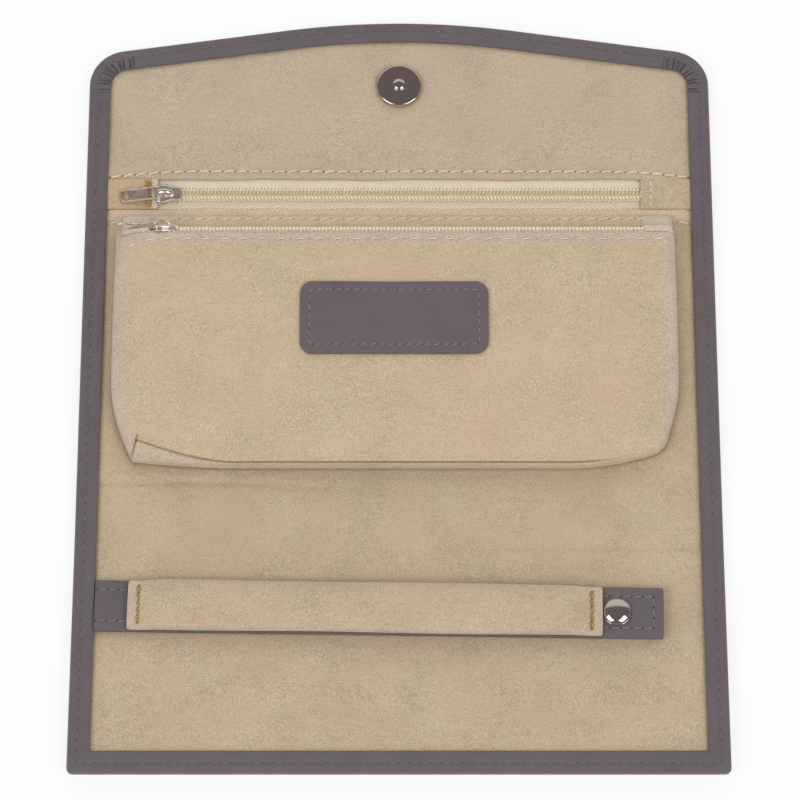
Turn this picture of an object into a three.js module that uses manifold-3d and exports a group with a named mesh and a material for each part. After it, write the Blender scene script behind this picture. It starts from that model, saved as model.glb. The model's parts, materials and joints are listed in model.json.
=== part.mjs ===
// A roll for jewelry, lying open: a hemmed leather cover that folds at four creases, lined with velour.
// It carries a flat zipped pocket, a puffed zipped pouch, a padded ring bar on a strap, and a magnetic snap.
// Millimetres, +X to the right, +Y towards the flap, +Z up, origin at the bottom centre of the open roll.
import * as THREE from 'three';
import { mergeVertices } from 'three/addons/utils/BufferGeometryUtils.js';
import Module from 'manifold-3d';

const wasm = await Module();
wasm.setup();

// Cover panels, from the flap down to the front
const WIDTH = 210;
const FLAP_LENGTH = 54.65;
const TOP_SPINE = 16;
const BACK_LENGTH = 94.5;
const BOTTOM_SPINE = 22;
const FLAP_CORNER = 13;
const SHOULDER_SLOPE = THREE.MathUtils.degToRad(8);
const CREST_RADIUS = 276;
const FRONT_CORNER = 2;
const LEAST_CORNER = 0.2;
const HEM_WIDTH = 7.2;
const EDGE_WALL = 1;
const EDGE_ROUND = 0.9;
const CREASE_GAP = 0.3;
const INTERLINING_INSET = 3;

// Layers, from the outside in
const LEATHER = 0.9;
const INTERLINING = 0.7;
const LINING = 0.8;
const HEM = 1;
const POCKET_SHEET = 0.25;
const LAYER_GAP = 0.2;
const SEAT_GAP = 0.3;

// Coil zips
const TAPE = 0.25;
const TAPE_WIDTH = 5.3;
const ZIP_GAP = 0.15;
const COIL_WIDTH = 1.75;
const COIL_HEIGHT = 1;
const GROOVE = 0.9;
const TOOTH_DEPTH = 0.4;
const TOOTH_PITCH = 2.4;
const TOOTH_TIP = 0.96;
const SLIDER_LENGTH = 8.5;
const SLIDER_WIDTH = 7.1;
const SLIDER_REAR = 5.8;
const SLIDER_NOSE = 4.6;
const SLIDER_SHOULDER = 1.5;
const SLIDER_CORNER = 0.85;
const SLIDER_PLATE = 0.7;
const SLIDER_ROUND = 0.2;
const SLIDER_FLOOR = 0.35;
const SLIDER_WEB = 0.4;
const SLIDER_WEB_LENGTH = 3.8;
const SLIDER_START = 7.9;
const LUG_WIDTH = 1.5;
const LUG_WALL = 0.6;
const LUG_REACH = 5.7;
const PULL_LENGTH = 13.1;
const PULL_WIDTH = 4.85;
const PULL_THICKNESS = 0.7;
const PULL_RAIL = 1.2;
const PULL_CORNER = 1.2;
const PULL_PLATE = 4.2;
const PIVOT_GAP = 0.1;

// Flat pocket's zip, in the top spine
const WINDOW = 10.4;
const WINDOW_DROP = 1.4;
const WINDOW_MARGIN_LEFT = 19.9;
const WINDOW_MARGIN_RIGHT = 24.3;

// Pouch
const POUCH_X = -1.55;
const POUCH_MARGIN = 12;
const POUCH_LENGTH = 89.7;
const POUCH_SEAM_SETBACK = 0.8;
const POUCH_CORNER_DRAW = 8.5;
const POUCH_CORNER_RUN = 32;
const POUCH_CORNER_POWER = 2.5;
const POUCH_SQUARENESS = 7;
const POUCH_BOTTOM_HEIGHT = 7.2;
const POUCH_MIDDLE_RUN = 28;
const POUCH_MIDDLE_HEIGHT = 8;
const POUCH_CROWN_RUN = 56;
const POUCH_CROWN_HEIGHT = 10.4;
const POUCH_TOP_HEIGHT = 9.5;
const POUCH_ZIP_RUN = 10.2;
const POUCH_WALL = 1.1;
const POUCH_BACK = 0.5;
const POUCH_LIP = 0.2;
const POUCH_MOUTH_MARGIN = 5.5;
const POUCH_END_TAB = 4.4;
const LABEL_WIDTH = 61.7;
const LABEL_LENGTH = 25;
const LABEL_THICKNESS = 1.1;
const LABEL_CORNER = 4;
const LABEL_Y = 19.4;

// Magnetic snap
const SNAP_REACH = 30.7;
const SNAP_RADIUS = 7.3;
const SNAP_DISC = 1.6;
const SNAP_EDGE = 0.3;
const NUB_RADIUS = 2;
const NUB_HEIGHT = 1.2;
const NUB_ROUND = 0.6;
const NUB_CLEARANCE = 0.4;
const SNAP_CLEARANCE = 0.3;
const SOCKET_PROUD = 1.6;
const SOCKET_MARGIN = 12.2;
const SOCKET_SKIN = 0.35;
const MAGNET_GAP = 0.1;
const RIVET_RADIUS = 1;
const RIVET_CLEARANCE = 0.3;
const WASHER_RADIUS = 6;
const WASHER_GAP = 0.05;

// Ring bar
const STRAP_Y = -76.2;
const STRAP_SKEW = THREE.MathUtils.degToRad(1.1);
const STRAP_MARGIN = 13.3;
const STRAP_WIDTH = 16.9;
const STRAP_THICKNESS = 1.5;
const STRAP_CORNER = 1.5;
const ROLL_START = 10.6;
const ROLL_WIDTH = 16.6;
const ROLL_HEIGHT = 5.4;
const ROLL_END_HEIGHT = 1.8;
const ROLL_TAPER = 13;
const ROLL_FULLNESS = 0.7;
const SLEEVE = 0.7;
const CORE_SETBACK = 15;
const CORE_GAP = 0.4;
const STUD_PAST_ROLL = 4.6;
const STUD_TAIL = 14.8;
const STUD_LIFT = 2.2;
const CAP_RADIUS = 4.5;
const CAP_HEIGHT = 1.9;
const STUD_EDGE = 0.3;
const STUD_SOCKET_RADIUS = 4;
const STUD_SOCKET_HEIGHT = 1.3;
const POST_RADIUS = 1.6;
const POST_NECK = 1.3;
const POST_ROUND = 0.4;
const POST_FLANGE = 3.7;
const POST_FLANGE_EDGE = 0.25;
const POST_FLANGE_HEIGHT = 0.5;
const POST_CLEARANCE = 0.4;

// Heights of the layers
const INTERLINING_LOW = LEATHER + LAYER_GAP;
const INTERLINING_TOP = INTERLINING_LOW + INTERLINING;
const LINING_LOW = INTERLINING_TOP + LAYER_GAP;
const LINING_TOP = LINING_LOW + LINING;
const HEM_LOW = LINING_TOP + LAYER_GAP;
const THICKNESS = HEM_LOW + HEM;

// When the roll is closed, the flap and the front slope alike, and the snap fills the space between them.
const SNAP_STACK = LINING_TOP + LAYER_GAP + SNAP_DISC - THICKNESS + SNAP_CLEARANCE + SOCKET_PROUD + LAYER_GAP;
const SPINE_DROP = BOTTOM_SPINE - TOP_SPINE;
const WEDGE = Math.asin((THICKNESS + SNAP_STACK) / Math.hypot(BACK_LENGTH, SPINE_DROP))
  + Math.atan2(SPINE_DROP, BACK_LENGTH);
const SOCKET_REACH = BACK_LENGTH * Math.cos(WEDGE) + SPINE_DROP * Math.sin(WEDGE) - SNAP_REACH;
const FRONT_LENGTH = SOCKET_REACH + SOCKET_MARGIN;

// Creases, where the panels meet
const LENGTH = FLAP_LENGTH + TOP_SPINE + BACK_LENGTH + BOTTOM_SPINE + FRONT_LENGTH;
const FRONT_EDGE = -LENGTH / 2;
const FRONT_CREASE = FRONT_EDGE + FRONT_LENGTH;
const BOTTOM_CREASE = FRONT_CREASE + BOTTOM_SPINE;
const TOP_CREASE = BOTTOM_CREASE + BACK_LENGTH;
const FLAP_CREASE = TOP_CREASE + TOP_SPINE;
const FLAP_TIP = FLAP_CREASE + FLAP_LENGTH;

// The front lies on the snap socket under it, so it is tipped up a little about its crease.
const SOCKET_DEPTH = THICKNESS + LAYER_GAP + SOCKET_PROUD;
const SOCKET_NEAR = SOCKET_REACH - SNAP_RADIUS;
const FRONT_TIP = Math.atan2(SOCKET_DEPTH, SOCKET_NEAR)
  - Math.asin(THICKNESS / Math.hypot(SOCKET_NEAR, SOCKET_DEPTH));

// What runs across the roll keeps its margins to the side edges.
const WINDOW_LEFT = WINDOW_MARGIN_LEFT - WIDTH / 2;
const WINDOW_RIGHT = WIDTH / 2 - WINDOW_MARGIN_RIGHT;
const SLIDER_X = WINDOW_LEFT + SLIDER_START;
const POUCH_HALF_WIDTH = WIDTH / 2 - POUCH_MARGIN;
const STRAP_LENGTH = WIDTH - 2 * HEM_WIDTH - SEAT_GAP - STRAP_MARGIN;
const STUD_X = STRAP_LENGTH - STUD_TAIL;
const ROLL_LENGTH = STUD_X - STUD_PAST_ROLL - ROLL_START;

// Levels in a zip, from the underside of its tape
const COIL_LOW = TAPE + ZIP_GAP;
const COIL_TOP = COIL_LOW + COIL_HEIGHT;
const COIL_OUTER = GROOVE / 2 + COIL_WIDTH;
const PLATE_LOW = COIL_TOP + LAYER_GAP;
const PLATE_TOP = PLATE_LOW + SLIDER_PLATE;
const FACING_LOW = TAPE + LAYER_GAP;
const FACING_TOP = FACING_LOW + LINING;
const PIVOT_REACH = Math.hypot(PULL_THICKNESS, PULL_THICKNESS) / 2 + PIVOT_GAP;
const PIVOT_X = LUG_WALL + PIVOT_REACH - SLIDER_LENGTH / 2;
const PIVOT_Z = PLATE_TOP + PIVOT_REACH + PIVOT_GAP;

const LEATHER_FINISH = { color: 0x6b6366, roughness: 0.55, metalness: 0 };
const VELOUR_FINISH = { color: 0xc0ad93, roughness: 0.95, metalness: 0 };
const INTERLINING_FINISH = { color: 0xd9d4c8, roughness: 0.9, metalness: 0 };
const TAPE_FINISH = { color: 0xd8cab2, roughness: 0.85, metalness: 0 };
const COIL_FINISH = { color: 0xc9bb9c, roughness: 0.5, metalness: 0 };
const METAL_FINISH = { color: 0xb9b7b4, roughness: 0.2, metalness: 1 };
const MAGNET_FINISH = { color: 0x3a3a3c, roughness: 0.5, metalness: 0.6 };
const FOAM_FINISH = { color: 0xe6e1d6, roughness: 1, metalness: 0 };

function addPiece(parent, name, geometry, finish) {
  const mesh = new THREE.Mesh(geometry, new THREE.MeshStandardMaterial(finish));
  mesh.name = name;
  parent.add(mesh);
}

function solidOf(geometry) {
  const bare = geometry.clone();
  bare.deleteAttribute('normal');
  bare.deleteAttribute('uv');
  const merged = mergeVertices(bare, 1e-4);
  const vertProperties = Float32Array.from(merged.attributes.position.array);
  const triVerts = Uint32Array.from(merged.index.array);
  return new wasm.Manifold(new wasm.Mesh({ numProp: 3, vertProperties, triVerts }));
}

function geometryOf(solid) {
  const mesh = solid.getMesh();
  const geometry = new THREE.BufferGeometry();
  geometry.setAttribute('position', new THREE.BufferAttribute(Float32Array.from(mesh.vertProperties), 3));
  geometry.setIndex(Array.from(mesh.triVerts));
  geometry.computeVertexNormals();
  return geometry;
}

function cut(geometry, ...tools) {
  return geometryOf(tools.reduce((solid, tool) => solid.subtract(solidOf(tool)), solidOf(geometry)));
}

function join(geometry, ...others) {
  return geometryOf(others.reduce((solid, other) => solid.add(solidOf(other)), solidOf(geometry)));
}

function meet(geometry, other) {
  return geometryOf(solidOf(geometry).intersect(solidOf(other)));
}

function block(x0, x1, y0, y1, z0, z1) {
  const box = new THREE.BoxGeometry(x1 - x0, y1 - y0, z1 - z0);
  return box.translate((x0 + x1) / 2, (y0 + y1) / 2, (z0 + z1) / 2);
}

function slab(shape, z0, z1, curveSegments = 4) {
  const options = { depth: z1 - z0, bevelEnabled: false, curveSegments };
  return new THREE.ExtrudeGeometry(shape, options).translate(0, 0, z0);
}

// A slab whose upper and lower edges are rounded, within the outline
function softSlab(shape, z0, z1, round, curveSegments = 4) {
  const options = {
    depth: z1 - z0 - 2 * round,
    bevelThickness: round,
    bevelSize: round,
    bevelOffset: -round,
    bevelSegments: 2,
    curveSegments,
  };
  return new THREE.ExtrudeGeometry(shape, options).translate(0, 0, z0 + round);
}

// A profile of [radius, height] pairs, listed upwards on its outer side, turned about +Z
function revolve(profile, segments = 24) {
  const points = profile.map(([radius, height]) => new THREE.Vector2(radius, height));
  return new THREE.LatheGeometry(points, segments).rotateX(Math.PI / 2);
}

// The last points of a profile: a quarter of an ellipse, from its rim up to the axis
function dome(radius, low, top, steps = 4) {
  const points = [];
  for (let step = 0; step < steps; step += 1) {
    const angle = Math.PI / 2 * step / steps;
    points.push([radius * Math.cos(angle), low + (top - low) * Math.sin(angle)]);
  }
  return [...points, [0, top]];
}

function roundedRectangle(x0, x1, y0, y1, radius) {
  const shape = new THREE.Shape();
  shape.moveTo(x0 + radius, y0);
  shape.lineTo(x1 - radius, y0);
  shape.absarc(x1 - radius, y0 + radius, radius, -Math.PI / 2, 0);
  shape.lineTo(x1, y1 - radius);
  shape.absarc(x1 - radius, y1 - radius, radius, 0, Math.PI / 2);
  shape.lineTo(x0 + radius, y1);
  shape.absarc(x0 + radius, y1 - radius, radius, Math.PI / 2, Math.PI);
  shape.lineTo(x0, y0 + radius);
  shape.absarc(x0 + radius, y0 + radius, radius, Math.PI, 1.5 * Math.PI);
  return shape;
}

// A closed skin over rows of points, each row a ring, with flat ends
function loft(rings) {
  const count = rings[0].length;
  const positions = rings.flat(2);
  const index = [];
  for (let ring = 0; ring + 1 < rings.length; ring += 1) {
    for (let side = 0; side < count; side += 1) {
      const a = ring * count + side;
      const b = ring * count + ((side + 1) % count);
      index.push(a, b, b + count, a, b + count, a + count);
    }
  }
  const last = (rings.length - 1) * count;
  for (let side = 1; side + 1 < count; side += 1) {
    index.push(0, side + 1, side, last, last + side, last + side + 1);
  }
  const geometry = new THREE.BufferGeometry();
  geometry.setAttribute('position', new THREE.Float32BufferAttribute(positions, 3));
  geometry.setIndex(index);
  return geometry;
}

// Panel outlines, drawn in by an inset and run on past each crease
const RUN_ON = 10;
const ARC_STEPS = 7;

function stripOutline(inset, low, high) {
  const half = WIDTH / 2 - inset;
  return new THREE.Shape([
    new THREE.Vector2(-half, low - RUN_ON),
    new THREE.Vector2(half, low - RUN_ON),
    new THREE.Vector2(half, high + RUN_ON),
    new THREE.Vector2(-half, high + RUN_ON),
  ]);
}

function frontOutline(inset) {
  const half = WIDTH / 2 - inset;
  const low = FRONT_EDGE + inset;
  const high = FRONT_CREASE + RUN_ON;
  const corner = Math.max(FRONT_CORNER - inset, LEAST_CORNER);
  const shape = new THREE.Shape();
  shape.moveTo(-half, high);
  shape.lineTo(-half, low + corner);
  shape.absarc(corner - half, low + corner, corner, Math.PI, 1.5 * Math.PI);
  shape.lineTo(half - corner, low);
  shape.absarc(half - corner, low + corner, corner, 1.5 * Math.PI, 2 * Math.PI);
  shape.lineTo(half, high);
  return shape;
}

// The flap's shoulders slope to round corners, and an arc crests between them.
function flapOutline(inset) {
  const half = WIDTH / 2 - inset;
  const crestY = FLAP_TIP - CREST_RADIUS;
  const cornerX = WIDTH / 2 - FLAP_CORNER;
  const apex = crestY + CREST_RADIUS / Math.cos(SHOULDER_SLOPE);
  const cornerY = apex - cornerX * Math.tan(SHOULDER_SLOPE) - FLAP_CORNER / Math.cos(SHOULDER_SLOPE);
  const corner = FLAP_CORNER - inset;
  const rightNormal = Math.PI / 2 - SHOULDER_SLOPE;
  const leftNormal = Math.PI / 2 + SHOULDER_SLOPE;
  const shape = new THREE.Shape();
  shape.moveTo(-half, FLAP_CREASE - RUN_ON);
  shape.lineTo(half, FLAP_CREASE - RUN_ON);
  shape.lineTo(half, cornerY);
  shape.absarc(cornerX, cornerY, corner, 0, rightNormal);
  shape.absarc(0, crestY, CREST_RADIUS - inset, rightNormal, leftNormal);
  shape.absarc(-cornerX, cornerY, corner, leftNormal, Math.PI);
  return shape;
}

function panelSpan(low, high) {
  return block(-WIDTH, WIDTH, low + CREASE_GAP / 2, high - CREASE_GAP / 2, -RUN_ON, RUN_ON);
}

// A leather panel whose outer edges turn over the lining as a hem
function hemmedCover(outline, low, high) {
  const blank = softSlab(outline(0), 0, THICKNESS, EDGE_ROUND, ARC_STEPS);
  const slot = slab(outline(EDGE_WALL), LEATHER, HEM_LOW, ARC_STEPS);
  const window = slab(outline(HEM_WIDTH), LEATHER, THICKNESS + RUN_ON, ARC_STEPS);
  return meet(cut(blank, slot, window), panelSpan(low, high));
}

function layerSheet(outline, inset, low, high, z0, z1) {
  return meet(slab(outline(inset), z0, z1, ARC_STEPS), panelSpan(low, high));
}

function liningSheet(outline, low, high) {
  return layerSheet(outline, EDGE_WALL + LAYER_GAP, low, high, LINING_LOW, LINING_TOP);
}

function rivetHole(x, y, radius = RIVET_RADIUS + RIVET_CLEARANCE) {
  return revolve([[0, -RUN_ON], [radius, -RUN_ON], [radius, RUN_ON], [0, RUN_ON]], 16).translate(x, y, 0);
}

function addPanels(root, frontParts) {
  const backOutline = (inset) => stripOutline(inset, BOTTOM_CREASE, TOP_CREASE);
  const topOutline = (inset) => stripOutline(inset, TOP_CREASE, FLAP_CREASE);
  const bottomOutline = (inset) => stripOutline(inset, FRONT_CREASE, BOTTOM_CREASE);
  const back = [BOTTOM_CREASE, TOP_CREASE];
  const flap = [FLAP_CREASE, FLAP_TIP + RUN_ON];
  const bottom = [FRONT_CREASE, BOTTOM_CREASE];
  const front = [FRONT_EDGE - RUN_ON, FRONT_CREASE];
  const snapY = FLAP_CREASE + SNAP_REACH;
  const socketY = FRONT_CREASE - SOCKET_REACH;
  const washerHole = WASHER_RADIUS + RIVET_CLEARANCE;
  const stud = studPlace();

  addPiece(root, 'back_cover', hemmedCover(backOutline, ...back), LEATHER_FINISH);
  const sheetLow = INTERLINING_TOP - POCKET_SHEET;
  const backing = layerSheet(backOutline, INTERLINING_INSET, ...back, INTERLINING_LOW, sheetLow - ZIP_GAP);
  addPiece(root, 'back_interlining', backing, INTERLINING_FINISH);
  const pocketSheet = layerSheet(backOutline, INTERLINING_INSET, ...back, sheetLow, INTERLINING_TOP);
  addPiece(root, 'zip_pocket_sheet', pocketSheet, INTERLINING_FINISH);
  addPiece(root, 'back_lining', liningSheet(backOutline, ...back), VELOUR_FINISH);

  addPiece(root, 'top_spine_cover', hemmedCover(topOutline, TOP_CREASE, FLAP_CREASE), LEATHER_FINISH);

  addPiece(root, 'flap_cover', hemmedCover(flapOutline, ...flap), LEATHER_FINISH);
  const flapBacking = layerSheet(flapOutline, INTERLINING_INSET, ...flap, INTERLINING_LOW, INTERLINING_TOP);
  addPiece(root, 'flap_interlining', cut(flapBacking, rivetHole(0, snapY, washerHole)), INTERLINING_FINISH);
  addPiece(root, 'flap_lining', cut(liningSheet(flapOutline, ...flap), rivetHole(0, snapY)), VELOUR_FINISH);

  addPiece(root, 'bottom_spine_cover', hemmedCover(bottomOutline, ...bottom), LEATHER_FINISH);
  addPiece(root, 'bottom_spine_lining', liningSheet(bottomOutline, ...bottom), VELOUR_FINISH);

  const frontCover = cut(hemmedCover(frontOutline, ...front), rivetHole(0, socketY));
  addPiece(frontParts, 'front_cover', frontCover, LEATHER_FINISH);
  const frontBacking = layerSheet(frontOutline, INTERLINING_INSET, ...front, INTERLINING_LOW, INTERLINING_TOP);
  const frontHoles = [rivetHole(0, socketY, washerHole), rivetHole(stud.x, stud.y)];
  addPiece(frontParts, 'front_interlining', cut(frontBacking, ...frontHoles), INTERLINING_FINISH);
  const frontLining = cut(liningSheet(frontOutline, ...front), rivetHole(stud.x, stud.y));
  addPiece(frontParts, 'front_lining', frontLining, VELOUR_FINISH);
}

// The magnetic snap: the stud's disc faces the lining, the socket's drum hangs under the front.
function addSnap(root, frontParts) {
  const flapSnap = new THREE.Group();
  flapSnap.position.set(0, FLAP_CREASE + SNAP_REACH, 0);
  root.add(flapSnap);
  const discLow = LINING_TOP + LAYER_GAP;
  const discTop = discLow + SNAP_DISC;
  const rivetLow = INTERLINING_LOW + WASHER_GAP;
  const stud = revolve([
    [0, rivetLow],
    [RIVET_RADIUS, rivetLow],
    [RIVET_RADIUS, discLow],
    [SNAP_RADIUS - SNAP_EDGE, discLow],
    [SNAP_RADIUS, discLow + SNAP_DISC / 2],
    [SNAP_RADIUS - SNAP_EDGE, discTop],
    [NUB_RADIUS, discTop],
    ...dome(NUB_RADIUS, discTop + NUB_HEIGHT - NUB_ROUND, discTop + NUB_HEIGHT),
  ]);
  addPiece(flapSnap, 'snap_stud', stud, METAL_FINISH);
  addPiece(flapSnap, 'snap_stud_washer', washer(), METAL_FINISH);

  const frontSnap = new THREE.Group();
  frontSnap.position.set(0, FRONT_CREASE - SOCKET_REACH, 0);
  frontParts.add(frontSnap);
  const drumTop = -LAYER_GAP;
  const drumLow = drumTop - SOCKET_PROUD;
  const hole = NUB_RADIUS + NUB_CLEARANCE;
  const rivetTop = INTERLINING_TOP - WASHER_GAP;
  const drum = revolve([
    [0, drumTop - SOCKET_SKIN],
    [SNAP_RADIUS - SOCKET_SKIN, drumTop - SOCKET_SKIN],
    [SNAP_RADIUS - SOCKET_SKIN, drumLow + SOCKET_SKIN],
    [hole, drumLow + SOCKET_SKIN],
    [hole, drumLow],
    [SNAP_RADIUS - SNAP_EDGE, drumLow],
    [SNAP_RADIUS, drumLow + SNAP_EDGE],
    [SNAP_RADIUS, drumTop],
    [RIVET_RADIUS, drumTop],
    [RIVET_RADIUS, rivetTop],
    [0, rivetTop],
  ]);
  addPiece(frontSnap, 'snap_socket', drum, METAL_FINISH);
  const magnetInner = hole + MAGNET_GAP;
  const magnetOuter = SNAP_RADIUS - SOCKET_SKIN - MAGNET_GAP;
  const magnetLow = drumLow + SOCKET_SKIN + MAGNET_GAP;
  const magnetTop = drumTop - SOCKET_SKIN - MAGNET_GAP;
  const magnet = revolve([
    [magnetInner, magnetLow],
    [magnetOuter, magnetLow],
    [magnetOuter, magnetTop],
    [magnetInner, magnetTop],
    [magnetInner, magnetLow],
  ]);
  addPiece(frontSnap, 'snap_magnet', magnet, MAGNET_FINISH);
  addPiece(frontSnap, 'snap_socket_washer', washer(), METAL_FINISH);
}

// A riveting washer that lies in a hole of the interlining
function washer() {
  const inner = RIVET_RADIUS + RIVET_CLEARANCE;
  const low = INTERLINING_LOW + WASHER_GAP;
  const top = INTERLINING_TOP - WASHER_GAP;
  return revolve([[inner, low], [WASHER_RADIUS, low], [WASHER_RADIUS, top], [inner, top], [inner, low]]);
}

// One row of a zip's coil: a cord with rounded teeth along the groove
function coilRow(side, left, right) {
  const count = Math.floor((right - left) / TOOTH_PITCH);
  const pitch = (right - left) / count;
  const tip = side * GROOVE / 2;
  const root = tip + side * TOOTH_DEPTH;
  const points = [new THREE.Vector2(left, side * COIL_OUTER)];
  for (let tooth = 0; tooth < count; tooth += 1) {
    const x = left + tooth * pitch;
    points.push(new THREE.Vector2(x, root));
    points.push(new THREE.Vector2(x + (pitch - TOOTH_TIP) / 2, tip));
    points.push(new THREE.Vector2(x + (pitch + TOOTH_TIP) / 2, tip));
  }
  points.push(new THREE.Vector2(right, root), new THREE.Vector2(right, side * COIL_OUTER));
  return slab(new THREE.Shape(points), COIL_LOW, COIL_TOP);
}

// The slider's plan: a broad mouth on the left, drawn in to its heel on the right
function sliderOutline() {
  const half = SLIDER_LENGTH / 2;
  const mouth = SLIDER_WIDTH / 2;
  const heel = SLIDER_REAR / 2;
  const nose = SLIDER_NOSE / 2;
  const cornerX = SLIDER_CORNER - half;
  const shape = new THREE.Shape();
  shape.moveTo(half, -heel);
  shape.lineTo(half, heel);
  shape.quadraticCurveTo(0, heel, -SLIDER_SHOULDER, mouth);
  shape.quadraticCurveTo(cornerX, mouth, -half, nose);
  shape.lineTo(-half, -nose);
  shape.quadraticCurveTo(cornerX, -mouth, -SLIDER_SHOULDER, -mouth);
  shape.quadraticCurveTo(0, -heel, half, -heel);
  return shape;
}

// A slider: two plates joined by a web in the groove, lips over the tape, and a lug for the pull
function sliderBody() {
  const outline = sliderOutline();
  const reach = SLIDER_LENGTH;
  const channel = COIL_OUTER + LAYER_GAP;
  const plate = softSlab(outline, PLATE_LOW, PLATE_TOP, SLIDER_ROUND);
  const lipTop = (PLATE_LOW + PLATE_TOP) / 2;
  const lips = cut(slab(outline, COIL_LOW, lipTop), block(-reach, reach, -channel, channel, 0, PLATE_LOW));
  const floorTop = -ZIP_GAP;
  const floor = slab(outline, floorTop - SLIDER_FLOOR, floorTop);
  const webHalf = SLIDER_WEB / 2;
  const webEnd = SLIDER_WEB_LENGTH / 2;
  const web = block(-webEnd, webEnd, -webHalf, webHalf, floorTop - SLIDER_FLOOR / 2, lipTop);
  return join(plate, lips, floor, web, sliderLug());
}

function sliderLug() {
  const left = -SLIDER_LENGTH / 2;
  const right = left + LUG_REACH;
  const eyeTop = PIVOT_Z + PIVOT_REACH;
  const top = eyeTop + LUG_WALL;
  const bottom = (PLATE_LOW + PLATE_TOP) / 2;
  const arch = roundedRectangle(left, right, bottom, top, LUG_WALL);
  const eye = roundedRectangle(left + LUG_WALL, right - LUG_WALL, PLATE_TOP + PIVOT_GAP, eyeTop, LUG_WALL / 3);
  arch.holes.push(new THREE.Path(eye.getPoints(3)));
  const options = { depth: LUG_WIDTH, bevelEnabled: false, curveSegments: 3 };
  return new THREE.ExtrudeGeometry(arch, options).rotateX(Math.PI / 2).translate(0, LUG_WIDTH / 2, 0);
}

// A pull lying to the left of its pivot: a frame round the lug, a plate, and an open end
function pullTab() {
  const bar = PULL_THICKNESS / 2;
  const half = PULL_WIDTH / 2;
  const opening = half - PULL_RAIL;
  const lugEnd = LUG_REACH - PIVOT_REACH - LUG_WALL + PULL_RAIL / 2;
  const plateEnd = lugEnd + PULL_PLATE;
  const outline = roundedRectangle(-PULL_LENGTH, bar, -half, half, PULL_CORNER);
  const frame = roundedRectangle(-lugEnd, -bar, -opening, opening, bar);
  const end = roundedRectangle(PULL_RAIL - PULL_LENGTH, -plateEnd, -opening, opening, bar);
  outline.holes.push(new THREE.Path(frame.getPoints(3)), new THREE.Path(end.getPoints(3)));
  const options = { depth: PULL_THICKNESS, bevelEnabled: false, curveSegments: 4 };
  return new THREE.ExtrudeGeometry(outline, options).translate(0, 0, -PULL_THICKNESS / 2);
}

function addSlider(parent, prefix) {
  const slider = new THREE.Group();
  slider.name = `${prefix}_slider_place`;
  slider.position.set(SLIDER_X, 0, 0);
  parent.add(slider);
  addPiece(slider, `${prefix}_slider`, sliderBody(), METAL_FINISH);
  const pivot = new THREE.Group();
  pivot.name = `${prefix}_pull_pivot`;
  pivot.position.set(PIVOT_X, 0, PIVOT_Z);
  slider.add(pivot);
  addPiece(pivot, `${prefix}_pull`, pullTab(), METAL_FINISH);
}

// Tapes and coil rows between the two ends of a zip's window
function addZip(parent, prefix, left, right, trim) {
  const inner = GROOVE / 2 + ZIP_GAP / 2;
  const outer = inner + TAPE_WIDTH;
  const upperTape = block(left - LINING, right + LINING, inner, outer, 0, TAPE);
  const lowerTape = block(left - LINING, right + LINING, -outer, -inner, 0, TAPE);
  addPiece(parent, `${prefix}_tape_upper`, trim(upperTape), TAPE_FINISH);
  addPiece(parent, `${prefix}_tape_lower`, trim(lowerTape), TAPE_FINISH);
  const coilLeft = SLIDER_X - SLIDER_LENGTH / 4;
  const coilRight = right - SEAT_GAP;
  addPiece(parent, `${prefix}_coil_upper`, coilRow(1, coilLeft, coilRight), COIL_FINISH);
  addPiece(parent, `${prefix}_coil_lower`, coilRow(-1, coilLeft, coilRight), COIL_FINISH);
  addSlider(parent, prefix);
}

// The flat pocket's zip fills a window between two velour facings in the top spine.
function addPocketZip(root) {
  const centre = (TOP_CREASE + FLAP_CREASE) / 2 - WINDOW_DROP;
  const zip = new THREE.Group();
  zip.position.set(0, centre, LINING_LOW - FACING_LOW);
  root.add(zip);
  addZip(zip, 'zip', WINDOW_LEFT, WINDOW_RIGHT, (tape) => tape);
  const edge = WIDTH / 2 - EDGE_WALL - LAYER_GAP;
  const half = WINDOW / 2;
  const seam = TOP_SPINE / 2 - CREASE_GAP / 2;
  const upper = block(-edge, edge, half, seam + WINDOW_DROP, FACING_LOW, FACING_TOP);
  const lower = block(-edge, edge, WINDOW_DROP - seam, -half, FACING_LOW, FACING_TOP);
  addPiece(zip, 'zip_facing_upper', upper, VELOUR_FINISH);
  addPiece(zip, 'zip_facing_lower', lower, VELOUR_FINISH);
  const tab = half - LAYER_GAP;
  addPiece(zip, 'zip_end_left', block(-edge, WINDOW_LEFT, -tab, tab, FACING_LOW, FACING_TOP), VELOUR_FINISH);
  addPiece(zip, 'zip_end_right', block(WINDOW_RIGHT, edge, -tab, tab, FACING_LOW, FACING_TOP), VELOUR_FINISH);
}

// Pouch levels: its back sheet lies on the lining, and its front stands on the back sheet.
const POUCH_BACK_LOW = LINING_TOP + LAYER_GAP;
const POUCH_BASE = POUCH_BACK_LOW + POUCH_BACK + LAYER_GAP;
const POUCH_SEAM = TOP_CREASE - POUCH_SEAM_SETBACK;
const POUCH_BOTTOM = POUCH_SEAM - POUCH_LENGTH;
const POUCH_FRONT_LENGTH = POUCH_LENGTH - POUCH_ZIP_RUN;
const ZIP_SLOPE = Math.atan2(POUCH_TOP_HEIGHT, POUCH_ZIP_RUN);

// Half the pouch's plan width at a distance from its bottom edge: its lower corners draw in
function pouchHalfWidth(run) {
  const short = Math.max(0, 1 - run / POUCH_CORNER_RUN);
  return POUCH_HALF_WIDTH - POUCH_CORNER_DRAW * short ** POUCH_CORNER_POWER;
}

// The pouch's section: up the bottom gusset, over the crowned front, and down the zip face to the seam.
// The gusset's knots are shares of its height, which is also how far it runs in.
const GUSSET_KNOTS = [[0, 0], [0.07, 0.45], [0.3, 0.86], [1, 1]];
const SECTION_STEPS = 15;

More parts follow.
